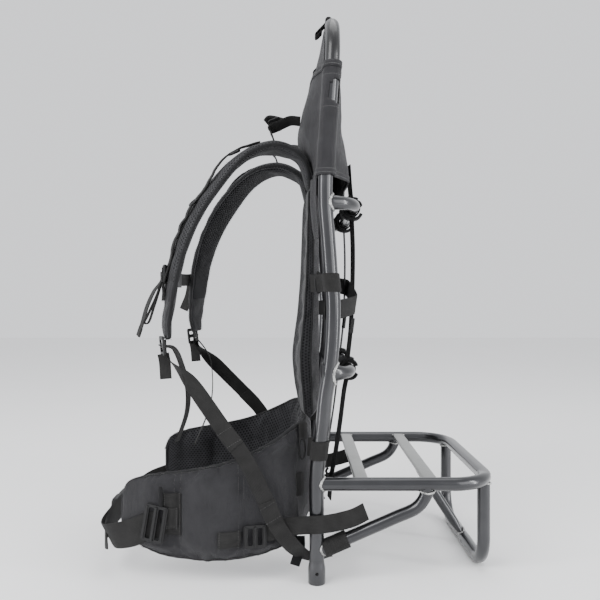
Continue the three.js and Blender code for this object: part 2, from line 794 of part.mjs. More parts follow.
// The tilted tie band behind the pad, round the lashing straps from side to side.
function tieBand() {
  const left = sleeveHeights.right - 2;
  const right = sleeveHeights.left + 8;
  const rear = upperCrossbarDepth + 5;
  const side = halfWidth - tubeRadius - 4;
  const share = (x) => left + ((right - left) * (halfWidth - x)) / frameWidth;
  const half = [[padWidth / 2 + 2 * gap, padBack - 8], [side, uprightY(left) - 12], [side, uprightY(left) + 6],
    [rearStrapPlace + 16, rear - 2], [rearStrapPlace + 8, rear]];
  const other = half.map(([x, y]) => [-x, y]).reverse();
  const points = [...half, ...other].map(([x, y]) => vec(x, y, share(x)));
  return strip(points, tieWebbing, vec(0, 0.15, 1).normalize());
}

place("tie_band", cut(tieBand(), rearStrap(gap), mirror(rearStrap(gap)), upright, backPad(gap)), webbing);

// A flat plate with slots, as a ladder lock: width along X, height along Y before placing.
function lockPlate(width, height, thickness, slots = 2) {
  const w = width / 2;
  const h = height / 2;
  const corner = Math.min(w, h) / 4;
  const shape = new THREE.Shape();
  shape.moveTo(-w + corner, -h);
  shape.lineTo(w - corner, -h);
  shape.lineTo(w, -h + corner);
  shape.lineTo(w, h - corner);
  shape.lineTo(w - corner, h);
  shape.lineTo(-w + corner, h);
  shape.lineTo(-w, h - corner);
  shape.lineTo(-w, -h + corner);
  shape.closePath();
  for (let i = 0; i < slots; i += 1) {
    const room = (height - (slots + 1) * lockBar) / slots;
    const low = -h + lockBar + i * (room + lockBar);
    const slot = new THREE.Path();
    slot.moveTo(-w + lockBar, low);
    slot.lineTo(-w + lockBar, low + room);
    slot.lineTo(w - lockBar, low + room);
    slot.lineTo(w - lockBar, low);
    slot.closePath();
    shape.holes.push(slot);
  }
  const plate = new THREE.ExtrudeGeometry(shape, { depth: thickness, bevelEnabled: false });
  plate.translate(0, 0, -thickness / 2);
  return plate;
}

// Turns and moves a plate so that its X, Y and Z lie along wide, high and their normal.
function seat(geometry, wide, high, centre) {
  const normal = wide.clone().cross(high).normalize();
  const upright = normal.clone().cross(wide).normalize();
  const basis = new THREE.Matrix4().makeBasis(wide.clone().normalize(), upright, normal).setPosition(centre);
  return geometry.clone().applyMatrix4(basis);
}

// The lower end of a shoulder strap: ladder lock, webbing down to the brace and its free tail.
const lockThickness = 5;
const strapEnd = strapAxes(strapSteps);
const lockHeight = 30;
const layer = gap + webbingThickness / 2;
const lockCentre = onStrap(strapSteps, 0, 2 * layer + lockThickness / 2).addScaledVector(strapEnd.tangent, 8);

function strapLock(grow = 0) {
  const width = lowerWebbing + 3 * lockBar + 2 * grow;
  const plate = lockPlate(width, lockHeight + 2 * grow, lockThickness + 2 * grow, grow > 0 ? 0 : 2);
  return seat(plate, strapEnd.wide, strapEnd.tangent.clone().negate(), lockCentre);
}

// Stations of the lower webbing: out of half the frame width, reach of strapReach, up of shelfHeight.
const lowerLine = [
  { out: 0.83, reach: 0.945, up: 2.19 },
  { out: 0.875, reach: 0.82, up: 2.02 },
  { out: 1.0, reach: 0.67, up: 1.78 },
  { out: 1.1, reach: 0.56, up: 1.6 },
  { out: 1.19, reach: 0.39, up: 1.31 },
  { out: 1.165, reach: 0.26, up: 0.94 },
  { out: 1.13, reach: 0.165, up: 0.63 },
  { out: 1.06, reach: 0.07, up: 0.42 },
  { out: 0.93, reach: -0.02, up: 0.26 },
  { out: 0.89, reach: -0.12, up: 0.2 },
  { out: 0.92, reach: -0.22, up: 0.24 },
];

const behindLock = lockCentre.clone().addScaledVector(strapEnd.outward, -lockThickness / 2 - layer);
const lowerPoints = [
  behindLock.clone().addScaledVector(strapEnd.tangent, -0.3 * lockHeight),
  behindLock.clone().addScaledVector(strapEnd.tangent, 0.5 * lockHeight),
  ...lowerLine.map((row) => vec(halfWidth * row.out, -strapReach * row.reach, shelfHeight * row.up)),
];

function lowerStrip(grow = 0) {
  const across = vec(0.1, 0.84, 0.54);
  const turn = (share) => {
    const start = turning(alongX, across, 0.02, 0.25)(share);
    return start.lerp(vec(0.7, 0.5, 0.5), THREE.MathUtils.smoothstep(share, 0.8, 1)).normalize();
  };
  return strip(smooth(lowerPoints, 22), lowerWebbing, turn, grow);
}

const rollDepth = 4;
const rollShares = [0.08, 0.165, 0.25];

function braceRoll() {
  const along = new StationCurve(braceStations);
  return bar(rollShares.map((share) => along.getPoint(share)), braceDiameter / 2 + rollDepth, 12);
}

const roll = cut(braceRoll(), brace(gap), upright);
const lowerRun = cut(lowerStrip(), upright, brace(gap), hipBelt(gap), shoulderStrap(gap), strapLock(gap));
placePair("lower_webbing", cut(join(roll, lowerRun), upright, brace(gap)), webbing);
placePair("strap_lock", strapLock(), plastic);

const tailLine = [
  { out: 0.79, reach: 0.955, up: 2.36 },
  { out: 0.79, reach: 0.885, up: 2.15 },
  { out: 0.78, reach: 0.85, up: 1.95 },
  { out: 0.77, reach: 0.855, up: 1.7 },
  { out: 0.77, reach: 0.93, up: 1.38 },
];

function strapTail() {
  const points = tailLine.map((row) => vec(halfWidth * row.out, -strapReach * row.reach, shelfHeight * row.up));
  return strip(smooth(points, 9), lowerWebbing - 3, vec(1, -0.15, 0).normalize());
}

placePair("strap_tail", cut(strapTail(), shoulderStrap(gap), lowerStrip(gap), strapLock(gap)), webbing);

// The short pull tab that hangs below a ladder lock, edge-on to the wearer.
const tabSize = { down: 52, reach: 3, width: 18 };

function strapTab() {
  const { down, reach, width } = tabSize;
  const points = [0.45 * lockHeight, 0.5 * (down + lockHeight), down].map((along) =>
    lockCentre.clone().addScaledVector(strapEnd.tangent, along).addScaledVector(alongY, reach * (along / down)));
  return strip(points, width, alongY);
}

placePair("strap_tab", cut(strapTab(), lowerStrip(gap), strapLock(gap)), webbing);

// The thin webbing along the outer face of a shoulder strap, standing off between its bar tacks.
const railStations = { from: 6, to: 21 };

function railWebbing(grow = 0) {
  const points = [];
  const wides = [];
  for (let i = railStations.from; i <= railStations.to; i += 1) {
    const lift = 2.2 * Math.sin(((i - railStations.from) * Math.PI) / 3) ** 2;
    points.push(onStrap(i, 0, gap + webbingThickness / 2 + lift));
    wides.push(strapAxes(i).wide);
  }
  const facing = (share) => wides[Math.round(share * (wides.length - 1))];
  return strip(points, railWidth, facing, grow);
}

placePair("strap_rail", cut(railWebbing(), shoulderStrap(gap)), webbing);

// The load lifter: from the hood's front over a buckle to the top of the shoulder strap.
const lifterStation = 5;
const lifterFoot = onStrap(lifterStation, 0, gap);
const lifterWidth = 20;
const lifterBuckleSize = { height: 20, thickness: 4 };

function loadLifter(grow = 0) {
  const x = lifterFoot.x;
  const top = lifterFoot.z;
  const y = lifterFoot.y;
  const hoodFront = Math.min(...hoodRing(hoodProfile[5], hoodWall).map((p) => p.y)) - gap;
  const points = [vec(x, hoodFront, top + 33), vec(x, y + 0.62 * (hoodFront - y), top + 34), vec(x, y + 12, top + 28),
    vec(x, y - 3, top + 22), vec(x, y - 6, top + 18), vec(x, y - 3, top + 10), vec(x, y, top + 1)];
  return strip(points, lifterWidth, alongX, grow);
}

function lifterBuckle() {
  const { height, thickness } = lifterBuckleSize;
  const plate = lockPlate(lifterWidth + 2 * lockBar, height, thickness);
  const centre = lifterFoot.clone().add(vec(0, 2, 24.5 + 0.6 * thickness));
  return seat(plate, alongX, vec(0, 1, 0.4), centre);
}

const lifter = cut(loadLifter(), shoulderStrap(gap), railWebbing(gap));
placePair("load_lifter", lifter, webbing);
placePair("lifter_buckle", cut(lifterBuckle(), loadLifter(gap), shoulderStrap(gap), railWebbing(gap)), plastic);

// The sternum strap across both shoulder straps, with its sliders, buckle and hanging tail.
const sternumStation = 19;
const sliderSize = { width: 14, height: 30, thickness: 6 };
const sliderSeat = onStrap(sternumStation, 0, 2 * layer + sliderSize.thickness / 2);
const sternumDepth = sliderSeat.y - 0.75 * sliderSize.thickness;
const sternumSag = 4;

function sternumStrap(grow = 0) {
  const end = sliderSeat.x + sliderSize.width / 2;
  const across = [end, 0.6 * end, 0, -0.6 * end, -end];
  const points = across.map((x) => vec(x, sternumDepth, sliderSeat.z - sternumSag * (1 - (x / end) ** 2)));
  return strip(points, sternumWebbing, alongZ, grow);
}

const leftStraps = [shoulderStrap(gap), railWebbing(gap)];
const bothStraps = [...leftStraps, ...leftStraps.map(mirror)];
place("sternum_strap", cut(sternumStrap(), ...bothStraps), webbing);

function sternumSlider() {
  const { width, height, thickness } = sliderSize;
  const axes = strapAxes(sternumStation);
  return seat(lockPlate(width, height, thickness, 0), axes.wide, axes.tangent.negate(), sliderSeat);
}

placePair("sternum_slider", cut(sternumSlider(), ...leftStraps, sternumStrap(gap)), plastic);

const buckleDepth = 9;
function clasp(width, height, depth) {
  const w = width / 2;
  const h = height / 2;
  const outline = [[-w, -0.6 * h], [-0.8 * w, -h], [-0.25 * w, -0.8 * h], [0.25 * w, -0.8 * h], [0.8 * w, -h],
    [w, -0.6 * h], [w, 0.6 * h], [0.8 * w, h], [0.25 * w, 0.8 * h], [-0.25 * w, 0.8 * h], [-0.8 * w, h], [-w, 0.6 * h]];
  const shape = new THREE.Shape(outline.map(([x, y]) => new THREE.Vector2(x, y)));
  const body = new THREE.ExtrudeGeometry(shape, { depth, bevelEnabled: false });
  body.rotateX(Math.PI / 2);
  body.translate(0, depth / 2, 0);
  return body;
}

const sternumClasp = clasp(42, 28, buckleDepth);
sternumClasp.translate(0, sternumDepth - layer - buckleDepth / 2, sliderSeat.z - sternumSag);
place("sternum_buckle", cut(sternumClasp, sternumStrap(gap)), plastic);

function sternumTail() {
  const start = vec(sliderSeat.x - sliderSize.width, sternumDepth - 2 * layer, sliderSeat.z);
  const line = [[0, 0, 4], [-1, -1, -8], [-3, -14, -26], [-7, -26, -50], [-9, -34, -76], [-10, -41, -97]];
  const points = smooth(line.map(([x, y, z]) => start.clone().add(vec(x, y, z))), 10);
  return strip(points, sternumWebbing - 2, vec(1, 0.3, 0).normalize());
}

place("sternum_tail", cut(sternumTail(), sternumStrap(gap)), webbing);

// A point on the outer face of the left belt wing.
function onBelt(reach, up, out) {
  const y = -beltReach * reach;
  const rows = beltStations.slice(beltLine.length - 1);
  let i = 0;
  while (i < rows.length - 2 && rows[i + 1].at.y > y) i += 1;
  const t = (rows[i].at.y - y) / (rows[i].at.y - rows[i + 1].at.y);
  const j = i + beltLine.length - 1;
  const outward = beltOutward(j).lerp(beltOutward(j + 1), t).normalize();
  const thick = rows[i].thick + (rows[i + 1].thick - rows[i].thick) * t;
  const point = rows[i].at.clone().lerp(rows[i + 1].at, t);
  return point.addScaledVector(outward, 0.53 * thick + out).setZ(beltFloor + beltHeight * up);
}

// A patch or strap lying on the belt between two reaches.
function beltStrip({ from, to, up, width }, out, grow = 0) {
  const points = [0, 1, 2, 3].map((i) => onBelt(from + ((to - from) * i) / 3, up, out));
  return strip(points, width, alongZ, grow);
}

const belt = hipBelt(gap);
const patchPlace = { from: 0.645, to: 0.742, up: 0.39, width: 70 };

function beltPatch(grow = 0) {
  return beltStrip(patchPlace, layer, grow);
}

placePair("belt_patch", cut(beltPatch(), belt), webbing);

const beltLockSize = { width: 36, height: 54, thickness: 5 };
const beltLockCentre = onBelt(0.795, 0.285, 2 * gap + webbingThickness + beltLockSize.thickness / 2);

function beltLock() {
  const { width, height, thickness } = beltLockSize;
  const plate = lockPlate(height, width, thickness);
  const along = onBelt(0.86, 0.28, 0).sub(onBelt(0.73, 0.28, 0));
  return seat(plate, vec(0, 0.16, 1).normalize(), along.negate(), beltLockCentre);
}

// The belt's webbing: from the lock round the front to the other wing, a closed loop.
function beltWebbingRoute() {
  const start = onBelt(0.755, 0.285, layer);
  const half = [start, onBelt(0.82, 0.26, layer), onBelt(0.92, 0.19, layer + 4), vec(0.86 * beltHalfWidth,
    -1.07 * beltReach, beltFloor + 0.15 * beltHeight), vec(0.66 * beltHalfWidth, -1.13 * beltReach,
    beltFloor + 0.145 * beltHeight), vec(0.3 * beltHalfWidth, -1.15 * beltReach, beltFloor + 0.145 * beltHeight)];
  const other = half.map((point) => vec(-point.x, point.y, point.z)).reverse();
  return [...half, ...other];
}

function beltRun(grow = 0) {
  return strip(beltWebbingRoute(), beltWebbing, alongZ, grow);
}

place("belt_webbing", cut(beltRun(), belt, beltPatch(gap), mirror(beltPatch(gap))), webbing);
placePair("belt_lock", cut(beltLock(), belt, beltRun(gap), mirror(beltRun(gap)), beltPatch(gap)), plastic);

const beltClaspDepth = 13;
const beltClasp = clasp(72, 48, beltClaspDepth);
beltClasp.translate(0, -1.15 * beltReach - webbingThickness / 2 - gap - beltClaspDepth / 2,
  beltFloor + 0.145 * beltHeight);
place("belt_buckle", cut(beltClasp, beltRun(gap)), plastic);

// The belt's stabiliser: a patch and a lock on the wing, and a strap back past the upright.
const stabiliserPlace = { from: 0.33, to: 0.45, up: 0.16, width: stabiliserWebbing };
placePair("stabiliser_patch", cut(beltStrip(stabiliserPlace, layer), belt), webbing);

const stabiliserLine = [
  { out: 1.07, reach: 0.195, up: 0.2 },
  { out: 1.0855, reach: 0.1, up: 0.245 },
  { out: 1.088, reach: 0.0, up: 0.265 },
  { out: 1.083, reach: -0.14, up: 0.275 },
  { out: 1.075, reach: -0.29, up: 0.32 },
  { out: 1.04, reach: -0.365, up: 0.36 },
];

function stabiliserStrap(grow = 0) {
  const points = stabiliserLine.map((row) => vec(halfWidth * row.out, -beltReach * row.reach,
    beltFloor + beltHeight * row.up));
  return strip(points, stabiliserWebbing, vec(0, -0.15, 1).normalize(), grow);
}

placePair("stabiliser_strap", cut(stabiliserStrap(), belt, upright, lowerStrip(gap), brace(gap)), webbing);

function stabiliserLock() {
  const centre = onBelt(0.258, 0.175, layer + 2.6 * webbingThickness + gap);
  const along = onBelt(0.2, 0.17, 0).sub(onBelt(0.3, 0.17, 0));
  return seat(lockPlate(34, 34, 4.5), alongZ, along.negate(), centre);
}

const nearLock = [belt, stabiliserStrap(gap), beltStrip(stabiliserPlace, layer, gap), lowerStrip(gap)];
placePair("stabiliser_lock", cut(stabiliserLock(), ...nearLock), plastic);

// The short free tail under the belt beside each upright.
function beltTail() {
  const points = [[0.86, 0.0, 0.115], [0.9, 0.0, 0.04], [0.91, 0.03, -0.1]].map(([out, reach, up]) =>
    vec(halfWidth * out, -beltReach * reach, beltFloor + beltHeight * up));
  return strip(points, 15, alongY);
}

placePair("belt_tail", cut(beltTail(), belt, lowerStrip(gap), upright), webbing);

// The origin is under the middle of the whole, on the surface that it stands on.
const whole = new THREE.Box3().setFromObject(group);
group.position.set(0, -(whole.min.y + whole.max.y) / 2, -whole.min.z);

export default group;
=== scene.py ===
"""External frame backpack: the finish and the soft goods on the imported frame.

Sizes are in millimetres, as in the frame's own drawing, and each piece is made in metres.
X is the wearer's left, -Y the wearer's side, +Y the load side, +Z up.
"""

import math

import bmesh
import bpy
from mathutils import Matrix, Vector, noise


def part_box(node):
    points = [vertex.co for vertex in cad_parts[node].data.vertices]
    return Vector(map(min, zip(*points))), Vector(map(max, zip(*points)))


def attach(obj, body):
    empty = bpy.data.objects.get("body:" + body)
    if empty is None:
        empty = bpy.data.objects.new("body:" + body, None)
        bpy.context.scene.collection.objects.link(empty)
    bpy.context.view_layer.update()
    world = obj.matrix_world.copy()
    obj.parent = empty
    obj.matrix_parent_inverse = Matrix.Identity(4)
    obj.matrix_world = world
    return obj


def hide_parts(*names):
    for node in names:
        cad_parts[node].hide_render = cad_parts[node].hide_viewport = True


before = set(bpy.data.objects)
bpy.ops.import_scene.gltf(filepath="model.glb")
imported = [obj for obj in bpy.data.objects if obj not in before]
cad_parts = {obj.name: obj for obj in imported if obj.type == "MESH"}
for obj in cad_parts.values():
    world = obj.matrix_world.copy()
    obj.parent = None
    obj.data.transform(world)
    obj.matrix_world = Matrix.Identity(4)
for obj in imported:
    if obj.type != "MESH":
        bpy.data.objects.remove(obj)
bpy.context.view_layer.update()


def placed(name, data):
    """A new object over its data, linked to the scene."""
    piece = bpy.data.objects.new(name, data)
    bpy.context.scene.collection.objects.link(piece)
    return piece


# Camera, level with the middle of the frame and square to its side
ferrule_low, ferrule_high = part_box("ferrule_left")
foot_middle = 25.0
shift = 1000 * (ferrule_low[1] + ferrule_high[1]) / 2 - foot_middle

eye = bpy.data.cameras.new("eye")
eye.sensor_width = 36.0
eye.lens = 38.2
camera = placed("camera", eye)
camera.location = (1.116, shift / 1000, 0.422)
camera.rotation_euler = (math.radians(90), 0, math.radians(90))
bpy.context.scene.camera = camera

# Driving sizes of the frame
frame_height = 867
half_width = 165
tube_radius = 11
bar_radius = 9.5
corner_radius = 72
lean_depth = 50
top_bar = frame_height - tube_radius
crossbars = {
    "upper_crossbar": {"z": 568, "depth": 84, "flare": 1.3},
    "lower_crossbar": {"z": 312, "depth": 77, "flare": 1.7},
}
shelf_height = 147
shelf_depth = 290
slat_depths = {"shelf_slat_inner": 92, "shelf_slat_outer": 196}
brace_height = 46
brace_reach = 190
foot_half = 128
foot_place = 285
webbing_thickness = 1.8

# Side view of the uprights: up of top_bar, back of lean_depth
lean = [
    (0.0, 0.5), (0.12, 0.5), (0.19, 0.505), (0.27, 0.672), (0.323, 0.76), (0.35, 0.834),
    (0.39, 0.926), (0.442, 0.986), (0.495, 0.992), (0.535, 0.92), (0.574, 0.872), (0.614, 0.82),
    (0.654, 0.765), (0.69, 0.755), (0.75, 0.79), (0.822, 0.87), (0.911, 0.97), (1.0, 1.0),
]

# Shoulder strap: out of half_width, then reach, up, wide and thick of these sizes
strap_reach, strap_height, strap_wide, strap_thick = 205, 668, 66, 17
strap_line = [
    (0.515, -0.075, 0.9, 0.82, 0.85), (0.515, -0.065, 0.93, 0.84, 0.95), (0.515, -0.03, 0.963, 0.88, 1.0),
    (0.515, 0.05, 0.985, 0.92, 1.0), (0.527, 0.195, 1.0, 0.96, 1.0), (0.545, 0.366, 0.988, 1.0, 1.0),
    (0.57, 0.512, 0.956, 1.0, 1.0), (0.594, 0.642, 0.91, 1.0, 1.0), (0.624, 0.762, 0.856, 1.0, 1.0),
    (0.667, 0.858, 0.796, 0.98, 1.0), (0.715, 0.925, 0.733, 0.94, 1.0), (0.764, 0.963, 0.673, 0.88, 1.0),
    (0.794, 0.985, 0.62, 0.8, 0.95), (0.818, 1.0, 0.572, 0.66, 0.8), (0.824, 0.99, 0.54, 0.5, 0.55),
]

# Half the hip belt: out, reach, low and high edge above its foot, and thick, of these sizes
belt_half, belt_reach, belt_foot, belt_tall, belt_thick = 177, 268, 39, 193, 15
belt_line = [
    (0.0, -0.023, 0.16, 0.985, 1.0), (0.34, -0.023, 0.15, 1.0, 1.0), (0.62, -0.015, 0.12, 1.0, 1.0),
    (0.8, 0.045, 0.1, 0.975, 1.0), (0.925, 0.15, 0.055, 0.89, 1.0), (0.985, 0.3, 0.015, 0.79, 1.0),
    (1.0, 0.45, 0.0, 0.725, 1.0), (0.995, 0.6, 0.008, 0.684, 0.95), (0.97, 0.75, 0.03, 0.655, 0.85),
    (0.93, 0.87, 0.085, 0.62, 0.8), (0.885, 0.96, 0.17, 0.56, 0.75), (0.86, 1.0, 0.28, 0.45, 0.7),
]

# Back pad: up of its height above its foot, thick and wide of these sizes, from its back face
pad_foot, pad_tall, pad_thick, pad_wide, pad_back = 236, 364, 30, 250, 27
pad_line = [
    (0.0, 0.78, 0.93), (0.04, 0.9, 0.98), (0.1, 1.0, 1.0), (0.2, 1.15, 1.0), (0.27, 1.2, 1.0),
    (0.36, 1.08, 1.0), (0.45, 0.93, 1.0), (0.6, 0.78, 1.0), (0.75, 0.7, 1.0), (0.9, 0.64, 1.0),
    (0.97, 0.6, 0.99), (1.0, 0.56, 0.95),
]

# Hood sleeve: up of its height, front and rear of these sizes beyond the uprights
hood_front, hood_rear = 47, 40
hood_line = [
    (0.0, 0.04, 0.62), (0.1, 0.06, 0.61), (0.19, 0.16, 0.54), (0.28, 0.36, 0.47), (0.44, 0.6, 0.34),
    (0.62, 0.64, 0.2), (0.78, 0.5, 0.1), (0.92, 0.4, 0.04), (1.0, 0.35, 0.0),
]

along_x, along_y, along_z = Vector((1, 0, 0)), Vector((0, 1, 0)), Vector((0, 0, 1))
both_sides = ((1, "left"), (-1, "right"))


def point(x, y, z):
    return Vector((x, y, z))


def clamp(value, low=0.0, high=1.0):
    return max(low, min(high, value))


def ease(value, low=0.0, high=1.0):
    t = clamp((value - low) / (high - low))
    return t * t * (3 - 2 * t)


def read(table, at, column=1, key=0):
    """A table's column at a place along its key column, on a smooth curve."""
    last = len(table) - 1
    i = 0
    while i < last - 1 and at > table[i + 1][key]:
        i += 1

    def slope(j):
        a, b = table[max(j - 1, 0)], table[min(j + 1, last)]
        return (b[column] - a[column]) / (b[key] - a[key])

    span = table[i + 1][key] - table[i][key]
    t = clamp((at - table[i][key]) / span)
    rise = table[i + 1][column] - table[i][column]
    start, end = slope(i) * span, slope(i + 1) * span
    return table[i][column] + t * (start + t * (3 * rise - 2 * start - end + t * (start + end - 2 * rise)))


def upright_y(z):
    return lean_depth * read(lean, z / top_bar)


def spline(points, steps):
    """Evenly spaced points on a smooth curve through the given ones."""
    points = [Vector(p) for p in points]
    padded = [2 * points[0] - points[1], *points, 2 * points[-1] - points[-2]]
    fine = []
    for a, b, c, d in zip(padded, padded[1:], padded[2:], padded[3:]):
        ab, bc, cd = (max(math.sqrt((q - p).length), 1e-4) for p, q in ((a, b), (b, c), (c, d)))
        start = bc * ((b - a) / ab - (c - a) / (ab + bc) + (c - b) / bc)
        end = bc * ((c - b) / bc - (d - b) / (bc + cd) + (d - c) / cd)
        for k in range(16):
            t = k / 16
            h = (2 * t**3 - 3 * t**2 + 1, t**3 - 2 * t**2 + t, -2 * t**3 + 3 * t**2, t**3 - t**2)
            fine.append(h[0] * b + h[1] * start + h[2] * c + h[3] * end)
    fine.append(points[-1])
    return even(fine, steps)


def even(points, steps):
    """Points at equal distances along a line."""
    ways = [0.0]
    for a, b in zip(points, points[1:]):
        ways.append(ways[-1] + (b - a).length)
    found, i = [], 0
    for k in range(steps + 1):
        at = ways[-1] * k / steps
        while i < len(points) - 2 and ways[i + 1] < at:
            i += 1
        t = (at - ways[i]) / max(ways[i + 1] - ways[i], 1e-6)
        found.append(points[i].lerp(points[i + 1], clamp(t)))
    return found


def flip(points):
    return [point(-p.x, p.y, p.z) for p in points]


def on_side(rings, side):
    """The rings of the left side, or their mirror image for the right."""
    return rings if side > 0 else [flip(ring) for ring in rings]


def circle(count, ends=0):
    """Angles round a circle, with the first again at the end where a line has to close."""
    return [2 * math.pi * k / count for k in range(count + ends)]


def bend(corner, before, after, radius, steps=10):
    centre = corner - before * radius + after * radius
    return [
        centre - after * radius * math.cos(a) + before * radius * math.sin(a)
        for a in (math.pi / 2 * i / steps for i in range(steps + 1))
    ]


def sweep(points, section, facing=None, closed=False):
    """Rings of a section carried along points. section(share) gives (across, out) pairs."""
    rings, across, count = [], None, len(points)
    for i, p in enumerate(points):
        before = points[(i - 1) % count if closed else max(i - 1, 0)]
        after = points[(i + 1) % count if closed else min(i + 1, count - 1)]
        tangent = (after - before).normalized()
        share = i / (count - 1)
        if facing is not None:
            across = facing(share) if callable(facing) else facing
        elif across is None:
            across = along_x if abs(tangent.x) < 0.9 else along_z
        out = tangent.cross(across).normalized()
        across = out.cross(tangent).normalized()
        rings.append([p + across * x + out * y for x, y in section(share)])
    return rings


def oval(across, out=None, sides=32):
    out = across if out is None else out
    return [(across * math.cos(a), out * math.sin(a)) for a in circle(sides)]


def soft_oval(across, out, sides=28, square=0.55):
    """A padded section: flat faces, full edges."""
    found = []
    for a in circle(sides):
        c, s = math.cos(a), math.sin(a)
        found.append((across * math.copysign(abs(c) ** square, c), out * math.copysign(abs(s) ** 0.8, s)))
    return found


def tape(width, thickness=webbing_thickness, across=8):
    """A flat strip's section with rounded edges."""
    half, t = width / 2, thickness / 2
    upper = [(half - 2 * half * i / across, t) for i in range(1, across)]
    edge = [(half, 0.0), (half - 0.25 * t, 0.7 * t)]
    other = [(-half + 0.25 * t, 0.7 * t), (-half, 0.0)]
    lower = [(x, -y) for x, y in reversed(upper)]
    return edge + upper + other + [(-half + 0.25 * t, -0.7 * t)] + lower + [(half - 0.25 * t, -0.7 * t)]


class Value:
    """A shader socket whose operators add Math nodes."""

    def __init__(self, finish, socket):
        self.finish = finish
        self.socket = socket

    def math(self, operation, *others):
        values = dict(enumerate((self, *others)))
        return self.finish.node("ShaderNodeMath", {"operation": operation}, values)

    def __add__(self, other):
        return self.math("ADD", other)

    def __mul__(self, other):
        return self.math("MULTIPLY", other)

    def __sub__(self, other):
        return self.math("SUBTRACT", other)

    def __rsub__(self, other):
        return self * -1.0 + other

    __radd__ = __add__
    __rmul__ = __mul__


class Finish:
    """A material on the Principled shader, with its nodes made by one method."""

    def __init__(self, name, **constants):
        self.material = bpy.data.materials.new(name)
        self.material.use_nodes = True
        self.tree = self.material.node_tree
        self.surface = self.tree.nodes["Principled BSDF"]
        for key, value in constants.items():
            self.surface.inputs[key.replace("_", " ")].default_value = value

    def node(self, kind, settings=None, values=None, out=0):
        node = self.tree.nodes.new(kind)
        for key, value in (settings or {}).items():
            setattr(node, key, value)
        for key, value in (values or {}).items():
            self.feed(node.inputs[key], value)
        return Value(self, node.outputs[out])

    def feed(self, socket, value):
        if isinstance(value, Value):
            self.tree.links.new(value.socket, socket)
        else:
            socket.default_value = value

    def place(self, kind="Object"):
        return self.node("ShaderNodeTexCoord", out=kind)

    def parts(self, vector):
        """The three numbers of a vector."""
        split = self.tree.nodes.new("ShaderNodeSeparateXYZ")
        self.feed(split.inputs[0], vector)
        return [Value(self, o) for o in split.outputs]

    def grain(self, vector, scale, detail=3.0, rough=0.55):
        values = {"Vector": vector, "Scale": scale, "Detail": detail, "Roughness": rough}
        return self.node("ShaderNodeTexNoise", values=values)

    def mix(self, amount, first, second):
        return self.node("ShaderNodeMix", {"data_type": "RGBA"}, {0: amount, 6: first, 7: second}, out=2)

    def range(self, value, low, high):
        return self.node("ShaderNodeMapRange", values={0: value, 1: low, 2: high})

    def bump(self, height, strength=0.5, distance=0.001):
        values = {"Height": height, "Strength": strength, "Distance": distance}
        return self.node("ShaderNodeBump", values=values)

    def wear(self, **links):
        for key, value in links.items():
            self.feed(self.surface.inputs[key.replace("_", " ")], value)
        return self.material


def tone(r, g, b):
    return (r, g, b, 1.0)


def anodised_with_painted_top_shade(name, dark, light, rough):
    f = Finish(name, Metallic=0.85, Coat_Weight=0.7, Coat_Roughness=0.13)
    place = f.place()
    blotch = f.grain(place, 9.0, 4.0)
    scuff = f.grain(place, 420.0, 2.0)
    stretched = f.node("ShaderNodeMapping", values={"Vector": place, "Scale": (60.0, 60.0, 900.0)})
    drawn = f.grain(stretched, 1.0, 2.0)
    mark = f.range(f.grain(place, 55.0, 6.0, 0.7), 0.66, 0.74)
    colour = f.mix(f.range(blotch, 0.35, 0.68), tone(*dark), tone(*light))
    colour = f.mix(mark * 0.35, colour, tone(*(1.7 * c for c in light)))
    # Above about 0.74 to 0.8 m the colour goes near-black and the coat and metal weaken: painted shade, a
    # dark reflection painted into the colour of the top bar.
    height = f.parts(place)[2]
    top = f.range(height, 0.74, 0.8)
    colour = f.mix(top * 0.9, colour, tone(0.004, 0.004, 0.0045))
    return f.wear(
        Coat_Weight=0.7 - 0.55 * top,
        Base_Color=colour,
        Metallic=0.85 - 0.6 * top,
        Roughness=rough + 0.1 * blotch + 0.08 * drawn + 0.12 * mark,
        Normal=f.bump(scuff * 0.4 + drawn * 0.6, 0.12, 0.0002),
    )


def woven(name, dark, light, pitch=0.0011, fuzz=0.16):
    """Coarse plain-woven pack cloth, its threads along the piece's own UV map."""
    f = Finish(name, Specular_IOR_Level=0.22, Sheen_Weight=0.07, Sheen_Roughness=0.4)
    place = f.place()
    u, v, _ = f.parts(f.place("UV"))
    turns = 2 * math.pi / pitch
    warp, weft = (u * turns).math("SINE"), (v * turns).math("SINE")
    thread = warp * weft
    mottle = f.grain(place, 38.0, 5.0, 0.6)
    slub = f.grain(place, 260.0, 2.0)
    crease = f.grain(place, 17.0, 3.0, 0.5)
    hanging = f.node("ShaderNodeMapping", values={"Vector": place, "Scale": (46.0, 46.0, 11.0)})
    pulled = f.grain(hanging, 1.0, 3.0, 0.45)
    shade = f.range(mottle * 0.7 + slub * 0.3, 0.36, 0.64)
    colour = f.mix(shade, tone(*dark), tone(*light))
    colour = f.mix(f.range(thread, -0.2, 1.0) * 0.35, colour, tone(*(1.5 * c for c in light)))
    height = thread * 0.12 + slub * fuzz + crease * 3.6 + pulled * 3.0
    return f.wear(Base_Color=colour, Roughness=0.48 + 0.2 * slub, Normal=f.bump(height, 0.9, 0.0026))


